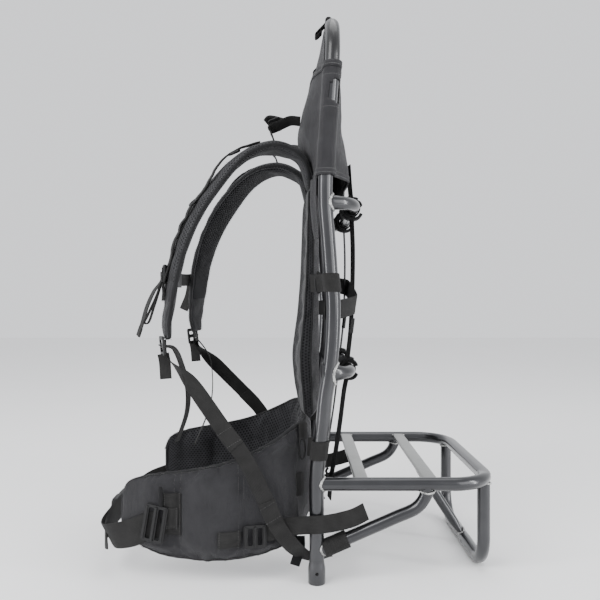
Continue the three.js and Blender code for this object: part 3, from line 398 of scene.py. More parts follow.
def spacer_mesh(name, thread_colour, hole_shade_colour, pitch=0.0031):
    """Knitted spacer mesh: rows of round holes in a hexagonal net, the holes darkened with painted shade."""
    f = Finish(name, Specular_IOR_Level=0.1, Sheen_Weight=0.05, Sheen_Roughness=0.5)
    u, v, _ = f.parts(f.place("UV"))
    turns = 2 * math.pi / pitch
    lean_x, lean_y = 0.5 * turns, 0.866 * turns
    first = (u * turns).math("COSINE")
    second = (u * lean_x + v * lean_y).math("COSINE")
    third = (u * lean_x - v * lean_y).math("COSINE")
    net = first + second + third
    hole = f.range(net, 0.1, 1.2)
    loose = f.grain(f.place(), 46.0, 4.0, 0.6)
    crease = f.grain(f.place(), 16.0, 3.0)
    thread = f.mix(f.range(loose, 0.35, 0.66), tone(*thread_colour), tone(*(1.6 * c for c in thread_colour)))
    # The holes take the near-black hole colour: painted shade down in the holes of the mesh.
    return f.wear(
        Base_Color=f.mix(hole, thread, tone(*hole_shade_colour)),
        Roughness=0.68 + 0.25 * hole,
        Normal=f.bump(hole * -1.0 + crease * 1.2, 0.8, 0.0012),
    )


def ribbed(name, dark, light, rib=0.0013):
    """Woven webbing: fine cross ribs and cords."""
    f = Finish(name, Specular_IOR_Level=0.12, Sheen_Weight=0.04, Sheen_Roughness=0.4)
    u, v, _ = f.parts(f.place("UV"))
    ribs = (v * (2 * math.pi / rib)).math("SINE")
    cords = (u * (2 * math.pi / (1.6 * rib))).math("SINE")
    wear = f.grain(f.place(), 60.0, 4.0, 0.6)
    colour = f.mix(f.range(wear, 0.33, 0.68), tone(*dark), tone(*light))
    colour = f.mix(f.range(ribs + cords * 0.6, -0.4, 1.6) * 0.45, colour, tone(*(1.9 * c for c in light)))
    return f.wear(
        Base_Color=colour,
        Roughness=0.62 + 0.2 * wear,
        Normal=f.bump(ribs * 0.6 + cords * 0.35 + wear * 0.5, 0.6, 0.0006),
    )


def moulded(name, colour, rough=0.36):
    f = Finish(name, Specular_IOR_Level=0.3)
    place = f.place()
    grain = f.grain(place, 1400.0, 2.0)
    scuff = f.range(f.grain(place, 120.0, 5.0, 0.7), 0.62, 0.72)
    shade = f.mix(scuff * 0.5, tone(*colour), tone(*(2.4 * c + 0.004 for c in colour)))
    roughness = rough + 0.12 * grain + 0.15 * scuff
    return f.wear(Base_Color=shade, Roughness=roughness, Normal=f.bump(grain, 0.15, 0.0002))


def plain_thread(name, colour):
    f = Finish(name, Sheen_Weight=0.3, Sheen_Roughness=0.4)
    twist = f.grain(f.place(), 900.0, 2.0)
    shade = f.mix(twist, tone(*colour), tone(*(1.5 * c for c in colour)))
    return f.wear(Base_Color=shade, Roughness=0.55 + 0.25 * twist, Normal=f.bump(twist, 0.4, 0.0003))


def welded(name):
    f = Finish(name, Metallic=1.0)
    place = f.place()
    ripple = f.grain(place, 500.0, 3.0)
    soot = f.range(f.grain(place, 90.0, 4.0), 0.45, 0.7)
    colour = f.mix(soot, tone(0.46, 0.46, 0.45), tone(0.2, 0.2, 0.2))
    return f.wear(Base_Color=colour, Roughness=0.28 + 0.3 * soot, Normal=f.bump(ripple, 0.4, 0.0004))


tube_metal = anodised_with_painted_top_shade("tube metal", (0.024, 0.0245, 0.027), (0.042, 0.0425, 0.046), 0.24)
bar_metal = anodised_with_painted_top_shade("crossbar metal", (0.022, 0.0225, 0.0245), (0.038, 0.0385, 0.041), 0.22)
slat_metal = anodised_with_painted_top_shade("slat metal", (0.16, 0.166, 0.152), (0.24, 0.247, 0.23), 0.3)
weld_metal = welded("weld metal")
pack_cloth = woven("pack cloth", (0.013, 0.0128, 0.0145), (0.024, 0.0235, 0.0262))
trim_cloth = woven("trim cloth", (0.035, 0.035, 0.037), (0.058, 0.058, 0.06), 0.0009)
dark_cloth = woven("dark cloth", (0.006, 0.006, 0.007), (0.011, 0.011, 0.012), 0.0009)
strap_mesh = spacer_mesh("strap mesh", (0.02, 0.02, 0.0215), (0.0025, 0.0025, 0.003), 0.0048)
pad_mesh = spacer_mesh("pad mesh", (0.016, 0.016, 0.0175), (0.002, 0.002, 0.0025), 0.0054)
gusset_mesh = spacer_mesh("gusset mesh", (0.011, 0.011, 0.012), (0.0015, 0.0015, 0.002), 0.0042)
strap_webbing = ribbed("strap webbing", (0.0112, 0.011, 0.0109), (0.0194, 0.0191, 0.0188))
light_webbing = ribbed("light webbing", (0.0097, 0.0095, 0.0094), (0.0173, 0.017, 0.0168))
dark_webbing = ribbed("dark webbing", (0.005, 0.005, 0.0055), (0.01, 0.01, 0.0105))
buckle_plastic = moulded("buckle plastic", (0.006, 0.006, 0.0064), 0.42)
binding_tape = ribbed("binding tape", (0.009, 0.009, 0.0095), (0.016, 0.016, 0.0168), 0.0009)
seam_thread = plain_thread("seam thread", (0.1, 0.1, 0.1))
dark_thread = plain_thread("dark thread", (0.03, 0.03, 0.03))


def metres(p):
    return (p[0] / 1000, (p[1] + shift) / 1000, p[2] / 1000)


def make(name, verts, faces, finish, uvs=None, sharp=40.0):
    """A piece from points in millimetres, at the origin, in metres."""
    data = bpy.data.meshes.new(name)
    data.from_pydata([metres(p) for p in verts], [], faces)
    if uvs:
        layer = data.uv_layers.new(name="lie")
        for loop, uv in zip(layer.data, uvs):
            loop.uv = uv
    form = bmesh.new()
    form.from_mesh(data)
    bmesh.ops.recalc_face_normals(form, faces=form.faces)
    form.to_mesh(data)
    form.free()
    data.polygons.foreach_set("use_smooth", [True] * len(data.polygons))
    if sharp:
        data.set_sharp_from_angle(angle=math.radians(sharp))
    data.materials.append(finish)
    return placed(name, data)


def ladder(n):
    """Faces that close a ring, from its first point to the opposite one."""
    found = [(0, 1, -1)]
    found += [(k, k + 1, -k - 1, -k) for k in range(1, n // 2 - 1)]
    found.append((n // 2 - 1, n // 2, 1 - n // 2))
    return [tuple(i % n for i in face) for face in found]


def skin(name, rings, finish, closed=False, sharp=40.0):
    """A closed or capped skin over rings, with a UV map in metres."""
    n, count = len(rings[0]), len(rings)
    verts = [p for ring in rings for p in ring]
    middle = rings[count // 2]
    around = [0.0]
    for j in range(n):
        around.append(around[-1] + (middle[(j + 1) % n] - middle[j]).length / 1000)
    far = [0.0]
    for i in range(count):
        step = sum((rings[(i + 1) % count][j] - rings[i][j]).length for j in range(0, n, max(n // 8, 1)))
        far.append(far[-1] + step / len(range(0, n, max(n // 8, 1))) / 1000)
    faces, uvs = [], []
    for i in range(count if closed else count - 1):
        k = (i + 1) % count
        for j in range(n):
            m = (j + 1) % n
            faces.append((i * n + j, i * n + m, k * n + m, k * n + j))
            low, high = (around[j], around[j + 1])
            uvs += [(low, far[i]), (high, far[i]), (high, far[i + 1]), (low, far[i + 1])]
    if not closed:
        for start, back in ((0, True), ((count - 1) * n, False)):
            for face in ladder(n):
                corners = tuple(start + i for i in (reversed(face) if back else face))
                faces.append(corners)
                uvs += [(around[i - start], far[start // n]) for i in corners]
    return make(name, verts, faces, finish, uvs, sharp)


def cloth_grid(name, rows, finish, thickness=1.2, closed=False, hole=None):
    """An open sheet over rows of points, given its thickness by Solidify."""
    n = len(rows[0])
    verts = [p for row in rows for p in row]
    faces, uvs = [], []
    across = [0.0]
    for j in range(n):
        across.append(across[-1] + (rows[0][(j + 1) % n] - rows[0][j]).length / 1000)
    along = [0.0]
    for a, b in zip(rows, rows[1:]):
        along.append(along[-1] + (b[n // 2] - a[n // 2]).length / 1000)
    for i in range(len(rows) - 1):
        for j in range(n if closed else n - 1):
            m = (j + 1) % n
            if hole and hole(rows[i][j], rows[i + 1][m]):
                continue
            faces.append((i * n + j, i * n + m, (i + 1) * n + m, (i + 1) * n + j))
            uvs += [(across[j], along[i]), (across[j + 1], along[i])]
            uvs += [(across[j + 1], along[i + 1]), (across[j], along[i + 1])]
    piece = make(name, verts, faces, finish, uvs, None)
    drop_loose(piece)
    wall = piece.modifiers.new("wall", "SOLIDIFY")
    wall.thickness = thickness / 1000
    wall.offset = 1.0
    return piece


def drop_loose(piece):
    form = bmesh.new()
    form.from_mesh(piece.data)
    bmesh.ops.delete(form, geom=[v for v in form.verts if not v.link_faces], context="VERTS")
    form.to_mesh(piece.data)
    form.free()


def rounded(piece, levels=1):
    smooth = piece.modifiers.new("round", "SUBSURF")
    smooth.levels = smooth.render_levels = levels
    return piece


def softened(piece, width=0.6, segments=2):
    edge = piece.modifiers.new("edge", "BEVEL")
    edge.width = width / 1000
    edge.segments = segments
    edge.limit_method = "ANGLE"
    edge.angle_limit = math.radians(35)
    edge.harden_normals = True
    return piece


def flatten(piece):
    """Bakes the modifiers into the piece's own mesh."""
    done = bpy.data.meshes.new_from_object(piece.evaluated_get(bpy.context.evaluated_depsgraph_get()))
    piece.modifiers.clear()
    piece.data = done
    return piece


def join(name, *pieces):
    """One piece of several."""
    pieces = [flatten(p) if p.modifiers else p for p in pieces]
    with bpy.context.temp_override(active_object=pieces[0], selected_editable_objects=pieces):
        bpy.ops.object.join()
    pieces[0].name = name
    return pieces[0]


def wears(piece, slot_name, *nodes):
    """The piece rides on the frame and stands for these solids; slot_name is not used."""
    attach(piece, "root")
    if nodes:
        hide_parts(*nodes)
    return piece


def webbing(name, rings, finish, *nodes):
    """A webbing piece over rings, with crisp edges."""
    return wears(skin(name, rings, finish, sharp=60.0), "webbing", *nodes)


def mirror(piece):
    """Turns a piece of the left side into one of the right."""
    for vertex in piece.data.vertices:
        vertex.co.x = -vertex.co.x
    piece.data.flip_normals()


def paint(piece, finish, chosen):
    """Gives the faces that chosen(face number) picks another finish."""
    piece.data.materials.append(finish)
    index = len(piece.data.materials) - 1
    for face in piece.data.polygons:
        if chosen(face.index):
            face.material_index = index


def puff(piece, seams, pressure=3.0, cap=5.0, slack=0.04, frames=16):
    """Blows the pad up as cloth held at its seams, and keeps how far each point may move."""
    before = [v.co.copy() for v in piece.data.vertices]
    held = piece.vertex_groups.new(name="seams")
    held.add(seams, 1.0, "REPLACE")
    cloth = piece.modifiers.new("cloth", "CLOTH")
    cloth.settings.use_pressure = True
    cloth.settings.uniform_pressure_force = pressure
    cloth.settings.vertex_group_mass = "seams"
    cloth.settings.effector_weights.gravity = 0
    cloth.settings.shrink_min = -slack
    cloth.settings.quality = 5
    cloth.settings.mass = 0.25
    cloth.settings.tension_stiffness = 12
    cloth.settings.compression_stiffness = 12
    cloth.settings.bending_stiffness = 0.4
    cloth.point_cache.frame_end = frames
    scene = bpy.context.scene
    for step in range(1, frames + 1):
        scene.frame_set(step)
    moved = piece.evaluated_get(bpy.context.evaluated_depsgraph_get()).data
    for vertex, start, end in zip(piece.data.vertices, before, [v.co.copy() for v in moved.vertices]):
        way = end - start
        if way.length > cap / 1000:
            way = way.normalized() * cap / 1000
        vertex.co = start + way
    piece.modifiers.clear()
    scene.frame_set(1)
    return piece


def rings_of(piece, n, count):
    """The rings of a skinned piece as they lie now, in millimetres."""
    found = [1000 * v.co - Vector((0, shift, 0)) for v in piece.data.vertices[: n * count]]
    return [found[i * n : (i + 1) * n] for i in range(count)]


def outward_of(rings, i, j):
    """The way out of a ringed form at one of its points."""
    ring, n = rings[i], len(rings[0])
    around = ring[(j + 1) % n] - ring[(j - 1) % n]
    along = rings[min(i + 1, len(rings) - 1)][j] - rings[max(i - 1, 0)][j]
    turn = sum(((a - ring[0]).cross(b - ring[0]) for a, b in zip(ring, ring[1:])), Vector())
    out = around.cross(along).normalized()
    return out if turn.dot(along) > 0 else -out


def band(name, rings, columns, finish, rows=None, out=1.0, inside=-0.6):
    """A tape that lies on a ringed form over some of its columns."""
    rows = range(len(rings)) if rows is None else rows
    n = len(rings[0])
    made = []
    for i in rows:
        outer = [rings[i][j % n] + outward_of(rings, i, j % n) * out for j in columns]
        inner = [rings[i][j % n] + outward_of(rings, i, j % n) * inside for j in reversed(columns)]
        made.append(outer + inner)
    return skin(name, made, finish, sharp=50.0)


# Geometry Nodes: a row of small solids along lines, for stitches and weld scales
def row_tree():
    tree = bpy.data.node_groups.new("row of small solids", "GeometryNodeTree")
    face = tree.interface
    face.new_socket("Lines", in_out="INPUT", socket_type="NodeSocketGeometry")
    sizes = {"Spacing": 0.004, "Long": 0.0026, "Wide": 0.0007, "High": 0.0005, "Uneven": 0.1}
    for name, default in sizes.items():
        face.new_socket(name, in_out="INPUT", socket_type="NodeSocketFloat").default_value = default
    face.new_socket("Seed", in_out="INPUT", socket_type="NodeSocketInt").default_value = 7
    face.new_socket("Finish", in_out="INPUT", socket_type="NodeSocketMaterial")
    face.new_socket("Row", in_out="OUTPUT", socket_type="NodeSocketGeometry")
    nodes = tree.nodes
    given, result = nodes.new("NodeGroupInput"), nodes.new("NodeGroupOutput")
    curve = nodes.new("GeometryNodeMeshToCurve")
    spaced = nodes.new("GeometryNodeResampleCurve")
    spaced.mode = "LENGTH"
    bead = nodes.new("GeometryNodeMeshUVSphere")
    bead.inputs["Segments"].default_value, bead.inputs["Rings"].default_value = 6, 4
    bead.inputs["Radius"].default_value = 0.5
    tangent = nodes.new("GeometryNodeInputTangent")
    turn = nodes.new("FunctionNodeAlignRotationToVector")
    turn.axis = "X"
    size = nodes.new("ShaderNodeCombineXYZ")
    uneven = nodes.new("FunctionNodeRandomValue")
    low, high = nodes.new("ShaderNodeMath"), nodes.new("ShaderNodeMath")
    low.operation, high.operation = "SUBTRACT", "ADD"
    low.inputs[0].default_value = high.inputs[0].default_value = 1.0
    scaled = nodes.new("ShaderNodeVectorMath")
    scaled.operation = "SCALE"
    copies = nodes.new("GeometryNodeInstanceOnPoints")
    real = nodes.new("GeometryNodeRealizeInstances")
    dressed = nodes.new("GeometryNodeSetMaterial")
    for start, out, end, into in (
        (given, "Lines", curve, "Mesh"), (curve, 0, spaced, "Curve"), (given, "Spacing", spaced, "Length"),
        (spaced, 0, copies, "Points"), (bead, 0, copies, "Instance"), (tangent, 0, turn, "Vector"),
        (turn, 0, copies, "Rotation"), (given, "Long", size, 0), (given, "Wide", size, 1),
        (given, "High", size, 2), (given, "Uneven", low, 1), (given, "Uneven", high, 1),
        (low, 0, uneven, 2), (high, 0, uneven, 3),
        (given, "Seed", uneven, "Seed"), (size, 0, scaled, 0), (uneven, 1, scaled, "Scale"),
        (scaled, 0, copies, "Scale"), (copies, 0, real, 0), (real, 0, dressed, "Geometry"),
        (given, "Finish", dressed, "Material"), (dressed, 0, result, 0),
    ):
        tree.links.new(start.outputs[out], end.inputs[into])
    return tree


small_solids = row_tree()


def row_along(name, lines, finish, spacing, long, wide, high, uneven=0.1):
    """Small solids along open lines, made by the tree and kept as a plain mesh."""
    verts, edges = [], []
    for line in lines:
        start = len(verts)
        verts += [metres(p) for p in line]
        edges += [(start + k, start + k + 1) for k in range(len(line) - 1)]
    data = bpy.data.meshes.new(name)
    data.from_pydata(verts, edges, [])
    piece = placed(name, data)
    nodes = piece.modifiers.new("row", "NODES")
    nodes.node_group = small_solids
    sizes = {"Spacing": spacing, "Long": long, "Wide": wide, "High": high}
    values = {key: value / 1000 for key, value in sizes.items()} | {"Uneven": uneven, "Finish": finish}
    for item in small_solids.interface.items_tree:
        if item.in_out == "INPUT" and item.name in values:
            nodes[item.identifier] = values[item.name]
    flatten(piece)
    piece.data.polygons.foreach_set("use_smooth", [True] * len(piece.data.polygons))
    return piece


stitch_lines = {"pack": [], "harness": []}


def stitch(line, group="harness"):
    stitch_lines[group].append(line)


# The welded frame
def mirrored_line(side):
    return side + flip(side)[::-1]


def rear_loop(z, depth, corner, start):
    side = [point(half_width, start, z)] if start < depth - corner - 1 else []
    side += bend(point(half_width, depth, z), along_y, -along_x, corner, 14)
    return mirrored_line(side)


def tube(name, points, section, finish, node, facing=None):
    return wears(skin(name, sweep(points, section, facing), finish), "frame_tube", node)


def main_route():
    steps = 96
    bottom, top = 30, top_bar - corner_radius
    heights = [bottom + (top - bottom) * k / steps for k in range(steps)]
    corner = bend(point(half_width, 0, top_bar), along_z, -along_x, corner_radius, 18)
    return mirrored_line([point(half_width, upright_y(p), p) for p in heights] + [
        point(p.x, upright_y(p.z), p.z) for p in corner
    ])


weld_lines = []


def weld_on_upright(side, z, wide, high, lift=0.6):
    """A weld line where a tube meets the rear of an upright."""
    line = []
    for a in circle(36, 1):
        x = (wide + lift) * math.cos(a)
        y = math.sqrt(max((tube_radius + lift) ** 2 - x * x, 4.0))
        up = z + (high + lift) * math.sin(a)
        line.append(point(side * (half_width + x), upright_y(up) + y, up))
    weld_lines.append(line)


def weld_round(centre, wide, deep, axis=along_z, dish=0.0):
    """A weld line round a bar that stands on another along the given axis."""
    second = axis.cross(along_x)
    line = []
    for a in circle(32, 1):
        drop = dish * math.cos(a) ** 2
        line.append(centre + along_x * wide * math.cos(a) + second * deep * math.sin(a) - axis * drop)
    weld_lines.append(line)


tube("bent_main_tube", main_route(), lambda share: oval(tube_radius), tube_metal, "main_tube")

ferrule_profile = [
    (0.4, 1.2), (9.4, 1.2), (10.0, 0.3), (10.6, 0.0), (12.3, 0.0), (12.8, 0.25), (13.0, 0.8), (13.0, 14.0),
    (13.0, 21.5), (12.75, 24.0), (12.2, 27.0), (11.6, 30.0), (11.3, 32.6), (11.25, 33.8), (0.4, 33.9),
]
for side, hand in both_sides:
    rings = [
        [point(side * half_width + r * math.cos(a), foot_middle + r * math.sin(a), z) for a in circle(48)]
        for r, z in ferrule_profile
    ]
    ferrule = skin(f"flared_ferrule_{hand}", rings, tube_metal)
    through = [point(side * half_width + x, foot_middle, 17.6) for x in (-20, 20)]
    drill = skin("drill", sweep(through, lambda share: oval(2.5, sides=20), along_y), dark_cloth)
    hole = ferrule.modifiers.new("hole", "BOOLEAN")
    hole.object = drill
    hole.solver = "EXACT"
    flatten(ferrule)
    ferrule.data.set_sharp_from_angle(angle=math.radians(40))
    bpy.data.objects.remove(drill)
    wears(ferrule, "frame_tube", f"ferrule_{hand}")

for name, size in crossbars.items():
    def flared(share, flare=size["flare"]):
        end = min(share, 1 - share) * 2
        return oval(bar_radius, bar_radius * (1 + (flare - 1) * max(0, 1 - end / 0.55)))

    route = rear_loop(size["z"], size["depth"], 45, upright_y(size["z"]))
    tube(f"bent_{name}", route, flared, bar_metal, name)
    for side in (1, -1):
        weld_on_upright(side, size["z"], 9.0, bar_radius * size["flare"] * 0.97)


def shelf_section(share):
    flat = ease(1 - abs(share - 0.5) * 5, 0.0, 0.5)
    rounded_part = oval(10)
    flat_part = soft_oval(10.4, 8.4, 32, 0.62)
    return [(a + (c - a) * flat, b + (d - b) * flat) for (a, b), (c, d) in zip(rounded_part, flat_part)]


shelf_route = rear_loop(shelf_height, shelf_depth, 60, upright_y(shelf_height))
tube("bent_shelf_rail", shelf_route, shelf_section, tube_metal, "shelf_hoop")
for side in (1, -1):
    weld_on_upright(side, shelf_height, 9.4, 10)

for name, depth in slat_depths.items():
    ends = [point(x, depth, 151.5) for x in (157.5, 150, 120, 60, 0, -60, -120, -150, -157.5)]
    bar = sweep(ends, lambda share: soft_oval(10.9, 3.4, 36, 0.32), along_y)
    wears(skin(f"rolled_{name}", bar, slat_metal), "slat", name)
    for side in (1, -1):
        weld_lines.append([point(side * 156.4, depth + t, 152.6) for t in (-11, -5, 0, 5, 11)])

brace_start = upright_y(brace_height)
brace_rise, brace_run = shelf_height - brace_height, brace_reach - brace_start
brace_line = spline([
    (half_width, brace_start, brace_height),
    (half_width, brace_start + 0.35 * brace_run, brace_height + 0.25 * brace_rise),
    (half_width, brace_start + 0.7 * brace_run, brace_height + 0.5 * brace_rise),
    (half_width, brace_reach - 15, brace_height + 0.66 * brace_rise),
    (half_width, brace_reach - 2.4, brace_height + 0.83 * brace_rise),
    (half_width, brace_reach, shelf_height - 3),
], 48)


def brace_section(share):
    flare = 1 + 0.16 * ease(share, 0.88, 1.0) + 0.1 * (1 - ease(share, 0.0, 0.1))
    return oval(9.3, 9.3 * flare)


for side, hand in both_sides:
    line = brace_line if side > 0 else flip(brace_line)
    tube(f"bent_brace_{hand}", line, brace_section, tube_metal, f"brace_{hand}", along_x)
    weld_on_upright(side, brace_height + 6, 9.0, 10.0)
    weld_round(point(side * half_width, brace_reach, shelf_height - 9.2), 9.6, 11.2, along_z, 2.5)

foot_side = [point(foot_half, foot_place, shelf_height - 4), point(foot_half, foot_place, 100)]
foot_side += bend(point(foot_half, foot_place, 10), -along_z, -along_x, 44, 14)
foot_line = even(mirrored_line(foot_side), 150)


def foot_section(share):
    crimp = 1 - 0.16 * (1 - ease(min(share, 1 - share), 0.0, 0.06))
    dent = 1 - 0.1 * (1 - ease(abs(share - 0.5), 0.0, 0.04))
    return oval(9.9 * crimp, 9.9 * dent)


tube("bent_foot", foot_line, foot_section, tube_metal, "foot_loop")
for side in (1, -1):
    weld_round(point(side * foot_half, foot_place, shelf_height - 8.8), 10.0, 9.6, along_z, -1.5)

strut_line = even([point(0, slat_depths["shelf_slat_outer"], 148), point(0, foot_place, 10)], 40)


def strut_section(share):
    flat = 1 - ease(min(share, 1 - share), 0.02, 0.2)
    return oval(8.3 + 2.4 * flat, 8.3 - 3.2 * flat)


tube("flattened_strut", strut_line, strut_section, tube_metal, "foot_strut", along_x)
weld_round(point(0, 199, 147.4), 10.5, 7.0)
weld_round(point(0, foot_place - 4.5, 18.6), 11.0, 6.5, Vector((0, -0.54, 0.84)))
welds = row_along("weld_beads", weld_lines, weld_metal, 1.7, 3.4, 5.0, 3.2, 0.2)
wears(welds, "frame_tube")


# Padded pieces: each ring runs round the pad, and the seams are columns of the rings
def pad_rings():
    rows, n = 52, 72
    rings = []
    for i in range(rows + 1):
        up = i / rows
        thick = pad_thick * read(pad_line, up, 1)
        wide = pad_wide * read(pad_line, up, 2)
        edge = min(up, 1 - up) * pad_tall
        fall = math.sqrt(1 - (1 - clamp(edge / 9)) ** 2)
        middle = pad_back - thick / 2
        z = pad_foot + pad_tall * up
        section = soft_oval(wide / 2 - 3 * (1 - fall), thick / 2 * (0.25 + 0.75 * fall), n, 0.3)
        rings.append([point(x, middle + y, z) for x, y in section])
    return rings


def columns_at(n, degrees):
    return round(n * degrees / 360) % n


pad_shape = pad_rings()
pad_n, pad_count = len(pad_shape[0]), len(pad_shape)
back_panel = skin("padded_back_panel", pad_shape, pad_mesh, sharp=None)
pad_seams = []
for i in range(pad_count):
    for degrees in (18, 162, 198, 342):
        pad_seams.append(i * pad_n + columns_at(pad_n, degrees))
    if i < 2 or i > pad_count - 3:
        pad_seams += [i * pad_n + j for j in range(pad_n)]
    elif 6 < i < pad_count - 6:
        pad_seams += [i * pad_n + columns_at(pad_n, d) for d in (251, 289)]
puff(back_panel, pad_seams, 1.6, 4.0, 0.02)
rear_columns = set(range(1, pad_n // 2))
front_columns = {columns_at(pad_n, d) for d in (*range(306, 342, 5), *range(198, 234, 5))}
side_columns = {columns_at(pad_n, d) for d in (*range(-18, 19, 5), *range(162, 199, 5))}
for finish, columns in ((pack_cloth, rear_columns), (trim_cloth, front_columns), (gusset_mesh, side_columns)):
    paint(back_panel, finish, lambda k: k < pad_n * (pad_count - 1) and k % pad_n in columns)
pad_now = rings_of(back_panel, pad_n, pad_count)
wears(rounded(back_panel), "pad_mesh", "back_pad")
for name, degrees in (("left", 342), ("right", 198), ("rear_left", 18), ("rear_right", 162)):
    middle = columns_at(pad_n, degrees)
    piping = band(f"pad_piping_{name}", pad_now, [middle - 1, middle, middle + 1], binding_tape,
                  range(1, pad_count - 1), 1.5, -1.0)
    wears(rounded(piping), "webbing")
for degrees in (251, 289, 206, 334):
    j = columns_at(pad_n, degrees)
    stitch([pad_now[i][j] + outward_of(pad_now, i, j) * 0.4 for i in range(5, pad_count - 5)])

strap_points = [point(half_width * o, -strap_reach * r, strap_height * u) for o, r, u, _, _ in strap_line]
strap_steps = 72
strap_way = spline(strap_points, strap_steps)
strap_table = [(k / (len(strap_line) - 1), row[3], row[4]) for k, row in enumerate(strap_line)]
strap_n = 32


def strap_tangent(i):
    return (strap_way[min(i + 1, strap_steps)] - strap_way[max(i - 1, 0)]).normalized()


def strap_facing(share):
    tangent = strap_tangent(round(share * strap_steps))
    angle = math.radians(20) * ease(share, 0.1, 0.5)
    return (along_x * math.cos(angle) - tangent.cross(along_x) * math.sin(angle)).normalized()


def strap_section(share):
    edge = min(share, 1 - share) * strap_steps
    fall = math.sqrt(1 - (1 - clamp((edge + 0.4) / 2.2)) ** 2)
    wide, thick = strap_wide * read(strap_table, share, 1), strap_thick * read(strap_table, share, 2)
    return soft_oval(wide / 2, thick / 2 * (0.35 + 0.65 * fall), strap_n, 0.42)


strap_shape = sweep(strap_way, strap_section, strap_facing)
for side, hand in both_sides:
    strap = skin(f"padded_strap_{hand}", on_side(strap_shape, side), strap_mesh, sharp=None)
    seams = [i * strap_n + j % strap_n for i in range(strap_steps + 1)
             for j in (-1, 0, 1, strap_n // 2 - 1, strap_n // 2, strap_n // 2 + 1)]
    seams += [i * strap_n + j for i in (0, 1, strap_steps - 1, strap_steps) for j in range(strap_n)]
    puff(strap, seams, 1.4, 2.0, 0.012)
    mesh_low = 447 if side > 0 else 432
    mesh_end = next(i for i, p in enumerate(strap_way) if i > strap_steps // 2 and p.z < mesh_low)
    paint(strap, pack_cloth, lambda k: mesh_end * strap_n <= k < strap_steps * strap_n)
    now = rings_of(strap, strap_n, strap_steps + 1)
    wears(rounded(strap), "pad_mesh", f"shoulder_strap_{hand}")
    for edge, middle in (("outer", 0), ("inner", strap_n // 2)):
        columns = [middle + k for k in (-1, 0, 1)]
        binding = band(f"strap_binding_{edge}_{hand}", now, columns, binding_tape, out=1.1, inside=-0.8)
        wears(rounded(binding), "webbing")
        for j in (middle - 2, middle + 2):
            j %= strap_n
            stitch([now[i][j] + outward_of(now, i, j) * 1.3 for i in range(strap_steps + 1)])
    for j in (5, 11):
        stitch([now[i][j] + outward_of(now, i, j) * 0.4 for i in range(mesh_end, strap_steps - 2)])
    stitch([now[mesh_end][j] + outward_of(now, mesh_end, j) * 0.5 for j in range(3, 14)])

# Hip belt
belt_table = [(k / (len(belt_line) - 1), *row) for k, row in enumerate(belt_line)]
belt_steps, belt_n = 96, 44


def belt_up(share):
    return belt_foot + belt_tall * share


def belt_at(share):
    """Place, low, high and thickness of the left half of the belt at a share of its length."""
    out, reach, low, high, thick = (read(belt_table, share, column) for column in (1, 2, 3, 4, 5))
    at = point(belt_half * out, -belt_reach * reach, 0)
    return at, belt_up(low), belt_up(high), belt_thick * thick


def belt_out(share):
    ahead, behind = belt_at(min(share + 0.02, 1))[0], belt_at(max(share - 0.02, 0))[0]
    if share < 0.02:
        behind = point(-ahead.x, ahead.y, 0)
    return (ahead - behind).cross(along_z).normalized() * -1


def belt_share(y):
    """The share of the left half where the belt reaches a place along Y."""
    return min((k / 400 for k in range(60, 401)), key=lambda s: abs(belt_at(s)[0].y - y))


def belt_ring(share, side):
    at, low, high, thick = belt_at(share)
    out = belt_out(share)
    edge = (1 - share) * belt_steps
    fall = math.sqrt(1 - (1 - clamp((edge + 0.5) / 3)) ** 2)
    section = soft_oval((high - low) / 2, thick / 2 * (0.4 + 0.6 * fall), belt_n, 0.3)
    middle = (low + high) / 2
    ring = [point(at.x + out.x * y, at.y + out.y * y, middle + x) for x, y in section]
    return ring if side > 0 else flip(ring)


belt_shape = [belt_ring(k / belt_steps, -1) for k in range(belt_steps, 0, -1)]
belt_shape += [belt_ring(k / belt_steps, 1) for k in range(belt_steps + 1)]
belt_count = len(belt_shape)
belt = skin("padded_hip_belt", belt_shape, pack_cloth, sharp=None)
wing_seams = (-177, -88)
seam_shares = [belt_share(y) for y in (*wing_seams, -12)]
seam_rows = {belt_steps + way * round(share * belt_steps) for share in seam_shares for way in (1, -1)}
pinch_y, pinch_z = -97, 113
seams = []
for i in range(belt_count):
    seams += [i * belt_n + j % belt_n for j in (-1, 0, 1, belt_n // 2 - 1, belt_n // 2, belt_n // 2 + 1)]
    if i in seam_rows or i < 2 or i > belt_count - 3:
        seams += [i * belt_n + j for j in range(belt_n)]
puff(belt, seams, 3.5, 5.0, 0.05)
paint(belt, pad_mesh, lambda k: k < belt_n * (belt_count - 1) and belt_n // 2 <= (k % belt_n))


def draw_in(rings):
    """Seams drawn into the wings, and the pinch with its folds where the load strap pulls."""
    for i, ring in enumerate(rings):
        for j in range(2, belt_n // 2 - 1):
            p = ring[j]
            wing = abs(p.x) > 120
            groove = sum(math.exp(-(((p.y - y) / 2.6) ** 2)) for y in wing_seams) * wing
            y, z = p.y - pinch_y, p.z - pinch_z
            away, turn = math.hypot(y, z), math.atan2(z, y)
            pinch = 4.5 * math.exp(-((away / 15) ** 2)) * wing
            ray = 1.5 * math.sin(9 * turn + 0.6) * clamp(away / 18) * math.exp(-((away / 34) ** 2)) * wing
            sag = 1.3 * noise.noise(Vector((p.x * 0.02, p.y * 0.035, p.z * 0.02)))
            k = i * belt_n + j
            belt.data.vertices[k].co += outward_of(rings, i, j) * (sag - 1.7 * groove - pinch + ray) / 1000


